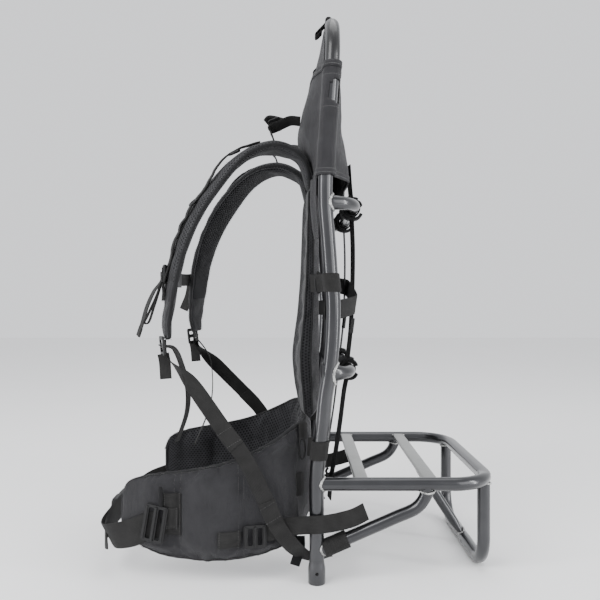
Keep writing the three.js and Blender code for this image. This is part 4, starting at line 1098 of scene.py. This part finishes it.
draw_in(rings_of(belt, belt_n, belt_count))
belt_now = rings_of(belt, belt_n, belt_count)
wears(rounded(belt), "belt_cloth", "hip_belt")
for name, middle in (("top", 0), ("bottom", belt_n // 2)):
    columns = [middle + k for k in range(-3, 4)]
    roll = band(f"belt_binding_{name}", belt_now, columns, binding_tape, out=1.6, inside=-0.8)
    wears(rounded(roll), "webbing")
    for j in (middle - 3, middle + 3):
        j %= belt_n
        stitch([belt_now[i][j] + outward_of(belt_now, i, j) * 1.7 for i in range(belt_count)])
for i in sorted(seam_rows):
    for step in (-1, 1):
        row = clamp(i + step, 1, belt_count - 2)
        stitch([belt_now[row][j] + outward_of(belt_now, row, j) * 0.4 for j in range(3, belt_n // 2 - 2)])


def on_belt(y, z, out=0.0):
    """A point on the outer face of the left wing as it lies, lifted by out."""
    place = belt_steps * (1 + belt_share(y))
    i = min(int(place), belt_count - 2)
    face = range(2, belt_n // 2 - 1)
    heights = [belt_now[i][j].z for j in face]
    z = clamp(z, heights[-1], heights[0])
    j = next(k for k in face if belt_now[i][k].z <= z)
    j = max(j, 3)
    above, below = belt_now[i][j - 1], belt_now[i][j]
    t = clamp((above.z - z) / max(above.z - below.z, 0.1))
    here = above.lerp(below, t)
    ahead = belt_now[i + 1][j - 1].lerp(belt_now[i + 1][j], t)
    return here.lerp(ahead, place - i) + outward_of(belt_now, i, j) * out


# Hood: a cloth sleeve over the frame, its rows from hem to hem
hood_top, hood_bottom, window_middle, window_half = 777, 608, 732, 19


def hood_half(z, radius=12.4):
    """Half the sleeve's outline at a height, round uprights of this radius."""
    up = (z - hood_bottom) / (hood_top - hood_bottom)
    middle = upright_y(z)
    near, far = middle - radius, middle + radius
    front, rear = near - hood_front * read(hood_line, up, 1), far + hood_rear * read(hood_line, up, 2)
    s = 0.7 * radius
    half = [
        (0, front), (82, front), (119, front + 0.2 * (near - front)), (half_width - 8, near + 0.6),
        (half_width, near), (half_width + s, middle - s), (half_width + radius, middle),
        (half_width + s, middle + s), (half_width, far), (half_width - 8, far - 0.6),
        (119, rear + 0.2 * (far - rear)), (82, rear), (0, rear),
    ]
    return [point(x, y, z) for x, y in half]


def hood_row(z):
    half = hood_half(z)
    ring = even(spline(half + flip(half)[-2:0:-1] + [half[0]], 260), 148)[:-1]
    up = (z - hood_bottom) / (hood_top - hood_bottom)
    found = []
    for p in ring:
        free = 1 - ease(abs(p.x), 118, 158)
        front = 1.0 if p.y < upright_y(z) else -1.0
        fold = 2.4 * math.sin(0.045 * p.x + 7 * up) * math.sin(3.1 * up + 0.4)
        sag = 2.0 * noise.noise(Vector((p.x * 0.018, p.y * 0.03, z * 0.03)))
        pucker = 0.8 * noise.noise(Vector((p.x * 0.11, p.y * 0.11, z * 0.05)))
        draw = 0.5 * math.sin(0.34 * z + 0.05 * p.x) * (1 - free) * ease(up, 0.05, 0.3)
        y = p.y + front * (fold + sag) * free + pucker - front * 0.3 * free + draw * 0.3
        found.append(point(p.x, y, z))
    return found


hood_heights = [hood_bottom + (hood_top - hood_bottom) * k / 56 for k in range(57)]
hood_rows = [hood_row(z) for z in hood_heights]


def window(a, b):
    z = (a.z + b.z) / 2
    rear = a.y - upright_y(z)
    return abs(a.x) > 150 and rear > -6 and abs(z - window_middle) < window_half - 9 * (1 - ease(rear, -6, 7))


sleeve = cloth_grid("hood_sleeve", hood_rows, pack_cloth, 1.4, closed=True, hole=window)
panel_rows = []
for k in range(25):
    up = k / 24
    z = hood_top - 18 + (top_bar - 6 - hood_top + 18) * up
    near = upright_y(z) - 11.6
    depth = hood_front * (0.37 - 0.36 * up)
    out = half_width * read([(0, 0.96), (0.35, 0.92), (0.7, 0.8), (1.0, 0.62)], up)
    row = []
    for j in range(41):
        x = out * (1 - 2 * j / 40)
        side = ease(abs(x) / out, 0.62, 1.0)
        wave = 0.9 * noise.noise(Vector((x * 0.02, 3.1, z * 0.03))) * (1 - side)
        row.append(point(x, near - depth * (1 - side) - 0.9 + wave, z))
    panel_rows.append(row)
panel = cloth_grid("hood_panel", panel_rows, pack_cloth, 1.4)
hood_piece = join("cloth_hood", sleeve, panel)
wears(hood_piece, "shell_cloth", "hood")
lining = cloth_grid("hood_lining", [[p.lerp(point(0, upright_y(p.z), p.z), 0.03) for p in row]
                                    for row in hood_rows[3:-3:3]], dark_cloth, 0.6, closed=True, hole=window)
wears(flatten(lining), "shell_cloth")
hood_n = len(hood_rows[0])
for name, rows in (("bottom", range(0, 4)), ("top", range(53, 57))):
    lifted = [[hood_rows[i][j] + outward_of(hood_rows, i, j) * 1.5 for j in range(hood_n)] for i in rows]
    wears(flatten(cloth_grid(f"hood_hem_{name}", lifted, pack_cloth, 1.3, closed=True)), "shell_cloth")
for i in (1, 3, 54):
    ring = [hood_rows[i][j] + outward_of(hood_rows, i, j) * 3.0 for j in range(hood_n)]
    stitch([*ring, ring[0]], "pack")
seam_radius = 14.1
for side in (1, -1):
    for edge in (-window_half - 5, window_half + 5):
        z = window_middle + edge
        arc = [point(side * (half_width + seam_radius * math.cos(a)),
                     upright_y(z) + seam_radius * math.sin(a), z)
               for a in (math.radians(d) for d in range(-100, 101, 8))]
        stitch(arc, "pack")
    for place in (-1, 1):
        line = [point(side * (half_width + 4), upright_y(z) + place * 13.7, z)
                for z in range(hood_bottom + 4, hood_top - 1, 4)]
        stitch(line, "pack")


# Webbing and plastic
def strips(name, points, width, facing, finish, node, steps=40, thickness=webbing_thickness, hands=(1, -1)):
    """A webbing strip on each side, standing for the node of that side."""
    line = spline(points, steps)
    rings = sweep(line, lambda share: tape(width, thickness), facing)
    for side, hand in both_sides:
        if side in hands:
            webbing(f"{name}_{hand}", on_side(rings, side), finish, *([f"{node}_{hand}"] if node else []))


def rounded_rect(wide, high, radius, steps=5):
    found = []
    for quarter, (sx, sy) in enumerate(((1, 1), (-1, 1), (-1, -1), (1, -1))):
        for k in range(steps + 1):
            a = math.pi / 2 * (quarter + k / steps)
            x = sx * (wide / 2 - radius) + radius * math.cos(a)
            y = sy * (high / 2 - radius) + radius * math.sin(a)
            found.append((x, y))
    return found


def plate(name, outline, holes, centre, across, up, thick, bow=0.0):
    """A moulded plate with holes; its face looks along across x up."""
    out = across.cross(up).normalized()
    form = bmesh.new()
    for loop in (outline, *holes):
        verts = [form.verts.new((x, y, 0)) for x, y in loop]
        for a, b in zip(verts, verts[1:] + verts[:1]):
            form.edges.new((a, b))
    bmesh.ops.triangle_fill(form, edges=form.edges[:], use_beauty=True)
    made = bmesh.ops.extrude_face_region(form, geom=form.faces[:])
    for v in (g for g in made["geom"] if isinstance(g, bmesh.types.BMVert)):
        v.co.z = thick
    form.verts.index_update()
    half = max(abs(x) for x, y in outline)
    places = []
    for v in form.verts:
        lift = v.co.z - thick / 2 + bow * (1 - (v.co.x / half) ** 2)
        places.append(centre + across * v.co.x + up * v.co.y + out * lift)
    faces = [tuple(v.index for v in f.verts) for f in form.faces]
    form.free()
    return softened(make(name, places, faces, buckle_plastic, sharp=35.0), 0.7)


def bar(name, start, end, wide, high, facing):
    section = soft_oval(wide / 2, high / 2, 16, 0.6)
    rings = sweep([start.lerp(end, k / 6) for k in range(7)], lambda share: section, facing)
    return softened(skin(name, rings, buckle_plastic), 0.4)


def ladder_lock(name, node, centre, across, up, wide, high, thick):
    """A ladder lock: a plate with two slots and three raised bars."""
    across, up = across.normalized(), up.normalized()
    out = across.cross(up).normalized()
    slot = rounded_rect(wide - 9, high * 0.2, 1.6)
    holes = [[(x, y + s * high * 0.21) for x, y in reversed(slot)] for s in (1, -1)]
    for side, hand in both_sides:
        parts = [plate("plate", rounded_rect(wide, high, 4), holes, centre, across, up, thick * 0.62)]
        for place, lift, size in ((0.43, 0.12, 0.9), (0.0, 0.3, 1.0), (-0.43, 0.12, 0.9)):
            mid = centre + up * high * place * 0.93 + out * thick * lift
            reach = across * (wide / 2 - 2.5)
            parts.append(bar("bar", mid - reach, mid + reach, 3.6 * size, thick * 0.85, up))
        piece = join(f"{name}_{hand}", *parts)
        if side < 0:
            mirror(piece)
        wears(piece, "buckle_plastic", f"{node}_{hand}")


def strap_frame(i):
    """Across, outward and tangent of the strap at one of its 24 stations."""
    k = min(int(3 * i), strap_steps)
    tangent = strap_tangent(k)
    across = strap_facing(k / strap_steps)
    return across, tangent.cross(across).normalized(), tangent


def on_strap(i, across=0.0, out=0.0):
    k = min(int(3 * i), strap_steps)
    wide, outward, _ = strap_frame(i)
    thick = strap_thick * read(strap_table, k / strap_steps, 2)
    return strap_way[k] + wide * across + outward * (thick / 2 * 1.06 + out)


def far_point(out, reach, up):
    return point(half_width * out, -strap_reach * reach, shelf_height * up)


lock_across, lock_out, lock_down = strap_frame(24)
lock_seat = on_strap(24, 0, 4.9) + lock_down * 8
ladder_lock("ladder_lock_strap", "strap_lock", lock_seat, -lock_across, -lock_down, 37, 30, 5)
behind = lock_seat - lock_out * 3.7
lower_line = [behind - lock_down * 9, behind + lock_down * 15] + [far_point(*row) for row in (
    (0.83, 0.945, 2.19), (0.875, 0.82, 2.02), (1.0, 0.67, 1.78), (1.1, 0.56, 1.6), (1.19, 0.39, 1.31),
    (1.165, 0.26, 0.94), (1.13, 0.165, 0.63), (1.06, 0.07, 0.42), (0.93, -0.02, 0.26), (0.89, -0.12, 0.2),
    (0.92, -0.22, 0.24),
)]


def lower_facing(share):
    side = along_x.lerp(Vector((0.1, 0.84, 0.54)), ease(share, 0.02, 0.25))
    return side.lerp(Vector((0.7, 0.5, 0.5)), ease(share, 0.8, 1.0)).normalized()


lower_steps = 80
strips("lower_run", lower_line, 25, lower_facing, light_webbing, "lower_webbing", lower_steps)
near_tail = [lock_seat - lock_out * 0.2 + lock_out * 3, *[far_point(*row) for row in (
    (0.79, 0.955, 2.36), (0.79, 0.885, 2.15), (0.78, 0.85, 1.95), (0.77, 0.855, 1.7), (0.77, 0.93, 1.38))]]
far_tail = [lock_seat + lock_out * 3, *[point(*row) for row in (
    (130, -196, 340), (134, -178, 312), (136, -173, 285), (136, -173, 235), (136, -183, 196),
    (136, -206, 140))]]
for side, line in ((1, near_tail), (-1, far_tail)):
    strips("strap_tail_end", line, 22, Vector((1, -0.15, 0)), strap_webbing, "strap_tail", 50, hands=(side,))
tab_line = [lock_seat + lock_down * 12, lock_seat + lock_down * 24 - lock_out, lock_seat + lock_down * 51]
strips("strap_tab_loop", tab_line, 18, along_y, strap_webbing, "strap_tab", 16)


def rail_point(k):
    i = 6 + 15 * k / 90
    slack = 7.5 if i < 12 else 3.0
    return on_strap(i, 0, 2.4 + slack * math.sin((i - 6) * math.pi / (6 if i < 12 else 3)) ** 2)


strips("rail_webbing", [rail_point(k) for k in range(0, 91, 3)], 18,
       lambda share: strap_facing(0.25 + 0.62 * share), strap_webbing, "strap_rail", 120, 3.0)
for i in (6, 9, 12, 15, 18, 21):
    for step in (-0.35, 0.35):
        row = [on_strap(i, x, 2.4) + strap_frame(i)[2] * step * 6 for x in (-8, -4, 0, 4, 8)]
        stitch(row)
keeper = on_strap(15, 0, 3)
across, outward, along = strap_frame(15)
keeper_line = [
    keeper - along * 14 + outward * 0.5, keeper + outward * 3.4, keeper + along * 14 + outward * 0.5,
]
strips("keeper_tab", keeper_line, 20, across, light_webbing, None, 14)

# Load lifters
foot = on_strap(5, 0, 0.3)
lifter_front = hood_half(foot.z + 33)[1].y - 0.8
lifter_line = [
    (foot.x, lifter_front, foot.z + 33), (foot.x, foot.y + 0.62 * (lifter_front - foot.y), foot.z + 34),
    (foot.x, foot.y + 12, foot.z + 28), (foot.x, foot.y - 3, foot.z + 22), (foot.x, foot.y - 6, foot.z + 18),
    (foot.x, foot.y - 3, foot.z + 10), (foot.x, foot.y, foot.z + 1),
]
lifter_tilt = Vector((0.82, -0.21, 0.53)).normalized()
strips("lifter_run", lifter_line, 20, lambda share: lifter_tilt.lerp(along_x, ease(share, 0.72, 1)),
       strap_webbing, "load_lifter", 36, 2.4)
ladder_lock("lifter_slide", "lifter_buckle", foot + point(0, 2, 26.9), lifter_tilt, Vector((0, 1, 0.4)),
            28, 20, 4)
strips("lifter_tail", [foot + point(0, 14, 31), foot + point(0, 2, 34), foot + point(0, -8, 34.5),
                       foot + point(0, -12, 30)], 20, lifter_tilt, strap_webbing, None, 16, 3.0)

# Sternum strap
seat = on_strap(19, 0, 5.4)
sternum_depth = seat.y - 4.5
cross_line = [point(seat.x * x, sternum_depth, seat.z - 4 * (1 - x**2))
              for x in (1 - k / 10 for k in range(21))]
cross_strip = sweep(spline(cross_line, 70), lambda share: tape(22), along_z)
webbing("sternum_webbing", cross_strip, strap_webbing, "sternum_strap")
ladder_lock("chest_slide", "sternum_slider", seat, along_x, along_z, 14, 30, 6)
tail_start = point(seat.x - 14, sternum_depth - 2.4, seat.z)
tail_line = [tail_start + Vector(p) for p in (
    (0, 0, 4), (-1, -1, -8), (-3, -14, -26), (-7, -26, -50), (-9, -34, -76), (-10, -41, -97))]
tail_strip = sweep(spline(tail_line, 50), lambda share: tape(20, 1.8 + 1.6 * (share > 0.86)),
                   Vector((0.86, 0.5, 0.1)).normalized())
webbing("sternum_tail_webbing", tail_strip, strap_webbing, "sternum_tail")
loop_line = [seat + Vector(p) for p in (
    (10, -3, -12), (10, -12, -36), (9, -26, -66), (9, -30, -75), (9, -25, -76), (9, -15, -50), (9, -5, -18))]
hanging_loop = sweep(spline(loop_line, 60), lambda share: tape(11, 2.2), along_x)
webbing("chest_hanging_loop", hanging_loop, strap_webbing)
far_end = spline([
    point(-seat.x + 8, seat.y - 2, 452), point(-seat.x + 9, seat.y - 6, 430), point(-seat.x + 9, -226, 403),
], 24)
far_strip = sweep(far_end, lambda share: tape(19, 2.4), Vector((0.35, 0.93, 0)).normalized())
webbing("chest_strap_far_end", far_strip, strap_webbing)


def buckle(name, node, centre, wide, high, thick):
    """A side-release buckle, fastened: socket, prongs and webbing bars."""
    parts = []
    for side, shape, depth in ((1, 0.58, 1.0), (-1, 0.5, 0.72)):
        outline = rounded_rect(wide * shape, high, high * 0.2, 7)
        middle = centre + along_x * side * wide * (0.5 - shape / 2)
        slot = [(x + side * wide * 0.17, y) for x, y in reversed(rounded_rect(3.6, high - 8, 1.5))]
        parts.append(plate("half", outline, [slot], middle, -along_x, along_z, thick * depth, 0.8))
    for s in (1, -1):
        start = centre + point(-0.08 * wide, 0, s * high * 0.42)
        parts.append(bar("prong", start, start + along_x * wide * 0.3, high * 0.16, thick * 0.66, along_z))
    wears(join(name, *parts), "buckle_plastic", node)


buckle("chest_buckle", "sternum_buckle", point(0, sternum_depth - 1, seat.z - 4), 42, 28, 9)
buckle("waist_buckle", "belt_buckle", point(0, -315, 64), 70, 38, 11)


# Belt fittings
def patch(name, reaches, up, high, width_out, finish, node):
    rows = []
    for k in range(13):
        y = -belt_reach * (reaches[0] + (reaches[1] - reaches[0]) * k / 12)
        middle = belt_up(up)
        bulge = width_out + 0.8 * math.sin(math.pi * k / 12)
        rows.append([on_belt(y, middle + high * (t / 10 - 0.5), bulge) for t in range(11)])
    for side, hand in both_sides:
        piece = cloth_grid(f"{name}_{hand}", on_side(rows, side), finish, 1.6)
        wears(flatten(piece), "belt_cloth", *([f"{node}_{hand}"] if node else []))
    for row in (rows[1], rows[-2]):
        stitch([p + belt_out(belt_share(p.y)) * 1.7 for p in row])


patch("belt_anchor", (0.645, 0.742), 0.36, 62, 0.6, light_webbing, "belt_patch")
patch("belt_anchor_overlay", (0.66, 0.73), 0.33, 30, 2.4, strap_webbing, None)
patch("hip_stabiliser_patch", (0.33, 0.45), 0.17, 24, 0.6, strap_webbing, "stabiliser_patch")


def on_belt_at(reach, up, out):
    return on_belt(-belt_reach * reach, belt_up(up), out)


wing_out = belt_out(belt_share(-belt_reach * 0.795))
belt_seat = on_belt_at(0.786, 0.29, 4.9)
lean_up = Vector((0, 0.16, 1)).normalized()
ladder_lock("ladder_lock_belt", "belt_lock", belt_seat, lean_up, wing_out.cross(lean_up), 54, 36, 5)
belt_run = [on_belt_at(0.755, 0.285, 1.2), on_belt_at(0.82, 0.26, 1.2), on_belt_at(0.92, 0.19, 5.2),
            point(152, -287, 65), point(117, -302, 60), point(53, -308, 66)]
belt_points = spline(belt_run + flip(belt_run)[::-1], 160)


def front_facing(share):
    place = min(share, 1 - share) * 2
    fold = ease(place, 0.2, 0.42) * (1 - ease(place, 0.5, 0.8))
    return Vector((0, -0.48 * fold, 1 - 0.12 * fold)).normalized()


front_rings = sweep(belt_points, lambda share: tape(40, 2.0, 10), front_facing)
webbing("belt_front_webbing", front_rings, light_webbing, "belt_webbing")
second = [p + point(0, -3.2, -1 + 2.5 * math.sin(p.x * 0.04)) for p in belt_points if 40 < p.x < 150]
strips("belt_front_tail", second, 37, along_z, strap_webbing, None, 40, hands=(1,))

stabiliser_seat = on_belt_at(0.258, 0.175, 6.2)
side_out = belt_out(belt_share(-belt_reach * 0.258))
ladder_lock("ladder_lock_stabiliser", "stabiliser_lock", stabiliser_seat, along_z, side_out.cross(along_z),
            34, 34, 4.5)
stabiliser_line = [point(half_width * o, -belt_reach * r, belt_up(u)) for o, r, u in (
    (1.07, 0.195, 0.2), (1.0855, 0.1, 0.245), (1.088, 0, 0.265), (1.083, -0.14, 0.275), (1.075, -0.29, 0.32),
    (1.04, -0.365, 0.36))]
strips("stabiliser_webbing", stabiliser_line, 27, Vector((0, -0.15, 1)).normalized(), light_webbing,
       "stabiliser_strap", 50)
strips("belt_tail_end", [point(half_width * o, -belt_reach * r, belt_up(u)) for o, r, u in (
    (0.86, 0, 0.115), (0.9, 0, 0.04), (0.91, 0.03, -0.1))], 15, along_y, dark_webbing, "belt_tail", 24)

# Sleeves, rear webbing, tie band and carrying loop
sleeve_high, sleeve_radius = 28, 12.7
for name, heights, pad_end in (
    ("pad_sleeve", {1: 448, -1: 407}, (125.6, 16.5)),
    ("belt_sleeve", {1: 198, -1: 198}, (141.6, 12.0)),
):
    for side, hand in both_sides:
        z = heights[side]
        y = upright_y(z)
        slope = (upright_y(z + 10) - upright_y(z - 10)) / 20
        line = [point(pad_end[0], pad_end[1], z), point(148, y - 11.3, z)]
        line += [point(half_width + sleeve_radius * math.sin(a), y - sleeve_radius * math.cos(a), z)
                 for a in (math.radians(d) for d in range(-20, 201, 20))]
        line += [point(149, y + 9.6, z), point(pad_end[0] + 1, pad_end[1] + 3.4, z)]
        upward = Vector((0, slope, 1)).normalized()
        rings = sweep(spline(line, 60), lambda share: tape(sleeve_high, 1.6), upward)
        webbing(f"{name}_webbing_{hand}", on_side(rings, side), light_webbing, f"{name}_{hand}")

rear_out, wrap_radius = 90, 11.3
for side, hand in both_sides:
    pieces = []
    for size in crossbars.values():
        depth, z = size["depth"], size["z"]
        loop = [point(rear_out, depth + wrap_radius * math.cos(a), z + wrap_radius * math.sin(a))
                for a in circle(28)]
        rings = sweep(loop, lambda share: tape(25, 2.2), along_x, closed=True)
        pieces.append(skin("loop", rings, dark_webbing, closed=True, sharp=60.0))
        for turn, (start, end, wider) in enumerate(((20, 250, 28), (60, 330, 24), (100, 210, 30))):
            fold = []
            for k in range(25):
                a = math.radians(start + (end - start) * k / 24)
                r = 14.4 + 2.0 * turn + 0.5 * math.sin(k * 0.9 + turn)
                fold.append(point(rear_out + 2 * turn - 2, depth + r * math.cos(a), z + r * math.sin(a)))
            rings = sweep(fold, lambda share: soft_oval(wider / 2, 2.6, 20, 0.4), along_x)
            pieces.append(skin("fold", rings, dark_webbing, sharp=None))
    for line in (
        [(83, 579.5), (81, 596), (78, 638)],
        [(76, 323.5), (82, 382), (85, 498), (83, 556.5)],
        [(76, 300.6), (71.6, 280.8), (64.7, 227.8), (57.8, 181), (50.8, 140.4), (47, 103)],
    ):
        run = spline([point(rear_out, y, z) for y, z in line], 36)
        turned = Vector((0.985, 0.17, 0))
        pieces.append(skin("run", sweep(run, lambda share: tape(25), turned), dark_webbing, sharp=60.0))
    rear = join(f"rear_webbing_{hand}", *pieces)
    if side < 0:
        mirror(rear)
    wears(rear, "webbing", f"rear_strap_{hand}")

tie_height, tie_rise = 405, 51
band_middle = upright_y(tie_height)
band_half = [(158, band_middle - 13), (151, band_middle - 8), (150, band_middle + 6), (106, 87), (98, 89)]
band_points = [point(x, y, tie_height + tie_rise * (half_width - x) / (2 * half_width)) for x, y in band_half]
band_points += [point(-x, y, tie_height + tie_rise * (half_width + x) / (2 * half_width))
                for x, y in reversed(band_half)]
tie = sweep(spline(band_points, 150), lambda share: tape(30, 1.8), Vector((0, 0.15, 1)).normalized())
webbing("tie_band_webbing", tie, light_webbing, "tie_band")

grip = sweep([point(x, 46, 872.5) for x in range(-95, 96, 5)],
             lambda share: oval(5.4 + 0.3 * math.sin(share * 60), sides=24), along_y)
grip_piece = rounded(skin("grip", grip, dark_webbing))
leg_line = [
    (-4, 5.5), (-13.5, -4.5), (-22.5, -14), (-25.2, -17.5), (-24.5, -20), (-21.5, -18.8), (-15, -12.2),
]
legs = []
for side in (1, -1):
    run = spline([point(side * 85, lean_depth + y, frame_height + z) for y, z in leg_line], 40)
    legs.append(skin("leg", sweep(run, lambda share: tape(20), along_x), strap_webbing, sharp=60.0))
wears(join("carrying_loop", grip_piece, *legs), "webbing", "haul_loop")

roll_line = brace_line[3:13]
for side, hand in both_sides:
    line = roll_line if side > 0 else flip(roll_line)
    rings = sweep(spline(line, 60), lambda share: oval(12.9 + 0.45 * abs(math.sin(share * 34))), along_x)
    webbing(f"webbing_roll_{hand}", rings, light_webbing)


def both(name, finish, rings):
    """The same small piece of webbing on each side."""
    for side, hand in both_sides:
        webbing(f"{name}_{hand}", on_side(rings, side), finish)


def both_rings(name, line, radius):
    """The same wire ring on each side."""
    rings = sweep(line, lambda share: oval(radius, sides=10), closed=True)
    for side, hand in both_sides:
        ring = skin(f"{name}_{hand}", on_side(rings, side), buckle_plastic, closed=True, sharp=None)
        wears(ring, "buckle_plastic")


def on_strap_ring(name, i, wide, high, lift):
    """A wire ring held on a strap."""
    across, outward, along = strap_frame(i)
    middle = on_strap(i, 0, lift)
    down = outward * 0.25 + along * 0.97
    line = [middle + across * wide / 2 * math.cos(a) + down * high / 2 * math.sin(a) for a in circle(36)]
    both_rings(name, line, 1.7)


on_strap_ring("strap_ring", 8, 26, 18, 6.0)
on_strap_ring("keeper_ring", 13, 22, 15, 5.5)

# Tape loops sewn along the side of the pads, and the cover strip down the front of each upright
for name, z, reach, out, high in (
    ("side_tab_upper", 221, -2.0, 139, 26),
    ("side_tab_lower", 141, -7.0, 142, 34),
):
    line = spline([point(out - 8, reach + 10, z), point(out, reach + 4, z), point(out + 5.5, reach + 1, z),
                   point(out + 4, reach + 7, z), point(out - 4, reach + 12, z)], 30)
    both(name, strap_webbing, sweep(line, lambda share: tape(high, 1.6), along_z))
for name, z, y, out in (("side_ring_upper", 449, 28, 134), ("side_ring_lower", 195, 3, 144)):
    both_rings(name, [point(out, y + 4.5 * math.cos(a), z + 16 * math.sin(a)) for a in circle(40)], 1.6)
cover_top, cover_tall = 606, 92
cover = []
for k in range(29):
    z = cover_top - cover_tall * k / 28
    y = upright_y(z)
    pinch = 1.0 - 0.5 * ease(k / 28, 0.75, 1.0)
    row = [
        (163, -12.6), (157, -13.4), (148, -15 - 3 * pinch), (140, -17.5 - 4 * pinch), (130, -16 - 4 * pinch),
    ]
    cover.append([
        point(x, y + lift + 1.2 * noise.noise(Vector((x * 0.1, z * 0.05, 2.0))), z) for x, lift in row
    ])
for side, hand in both_sides:
    piece = cloth_grid(f"upright_cover_{hand}", on_side(cover, side), pack_cloth, 1.4)
    wears(rounded(flatten(piece)), "shell_cloth")

# Lashing buckle and hook on the rear webbing
for side, hand in both_sides:
    seat_y, parts = 83.0, []
    for k, z in enumerate((372, 381, 390)):
        middle = point(rear_out, seat_y - 1 + 1.5 * k, z)
        parts.append(bar("bar", middle - along_x * 13, middle + along_x * 13, 5.5, 4.2, along_z))
    for place in (-12.5, 12.5):
        low, high = point(rear_out + place, seat_y - 1, 369), point(rear_out + place, seat_y + 2, 393)
        parts.append(bar("side", low, high, 3.4, 5.2, along_x))
    cluster = join(f"lashing_buckle_{hand}", *parts)
    hook_line = [point(rear_out, y, z) for y, z in ((56, 155), (51, 147), (46, 141), (42, 146), (45, 152))]
    hook_rings = sweep(spline(hook_line, 24), lambda share: oval(2.0, sides=10), along_x)
    hook = skin("hook", hook_rings, buckle_plastic, sharp=None)
    cluster = join(f"lashing_buckle_{hand}", cluster, hook)
    if side < 0:
        mirror(cluster)
    wears(cluster, "buckle_plastic")

# Sewn overlaps on the lower webbing, and the standing loop on the belt's wing
lower_points = spline(lower_line, lower_steps)
for start in (30, 52):
    facing = lower_facing(start / lower_steps)
    rings = sweep(lower_points[start : start + 7], lambda share: tape(26, 4.2), facing)
    both(f"sewn_overlap_{start}", light_webbing, rings)
    for k in (start + 1, start + 5):
        side = lower_facing(k / lower_steps)
        up = (lower_points[k + 1] - lower_points[k - 1]).cross(side).normalized() * 2.6
        for lift in (up, -up):
            stitch([lower_points[k] + side * x + lift for x in (-11, -5, 0, 5, 11)])
loop_line = [on_belt_at(reach, 0.5, out) for reach, out in (
    (0.748, 2.4), (0.748, 5.5), (0.757, 5.5), (0.757, 2.4))]
both("belt_gear_loop", dark_webbing, sweep(spline(loop_line, 20), lambda share: tape(30, 1.8), along_z))

for group, thread in (("pack", seam_thread), ("harness", dark_thread)):
    wears(row_along(f"stitches_{group}", stitch_lines[group], thread, 3.4, 2.3, 0.7, 0.6, 0.15), "webbing")

# Floor and light
floor_mesh = bpy.data.meshes.new("floor")
floor_mesh.from_pydata([(-6, -6, 0), (6, -6, 0), (6, 6, 0), (-6, 6, 0)], [], [(0, 1, 2, 3)])
floor = placed("floor", floor_mesh)
floor_finish = Finish("pale floor", Roughness=0.62)
cloud = floor_finish.grain(floor_finish.place(), 3.0)
pale = floor_finish.mix(cloud, tone(0.88, 0.88, 0.88), tone(0.91, 0.91, 0.91))
floor_mesh.materials.append(floor_finish.wear(Base_Color=pale))

world = bpy.data.worlds.new("studio")
bpy.context.scene.world = world
world.use_nodes = True
sky = world.node_tree.nodes["Background"]
sky.inputs["Color"].default_value = (0.96, 0.97, 1.0, 1.0)
sky.inputs["Strength"].default_value = 1.2

for name, place, aim, size, power in (
    ("key", (1.6, -1.5, 2.1), (0, 0, 0.45), (1.4, 1.4), 52),
    ("fill", (1.8, 1.8, 1.1), (0, 0, 0.4), (1.6, 1.6), 26),
    ("top", (-0.2, 0.2, 2.6), (0, 0, 0.4), (1.6, 1.6), 18),
    ("front strip", (1.1, -2.3, 0.8), (0, 0, 0.45), (0.3, 2.0), 34),
    ("rear strip", (1.0, 2.3, 0.9), (0, 0, 0.45), (0.3, 2.0), 34),
):
    light = bpy.data.lights.new(name, "AREA")
    light.shape = "RECTANGLE"
    light.size, light.size_y = size
    light.energy = power
    holder = placed(name, light)
    holder.location = place
    holder.rotation_euler = (Vector(aim) - Vector(place)).to_track_quat("-Z", "Y").to_euler()
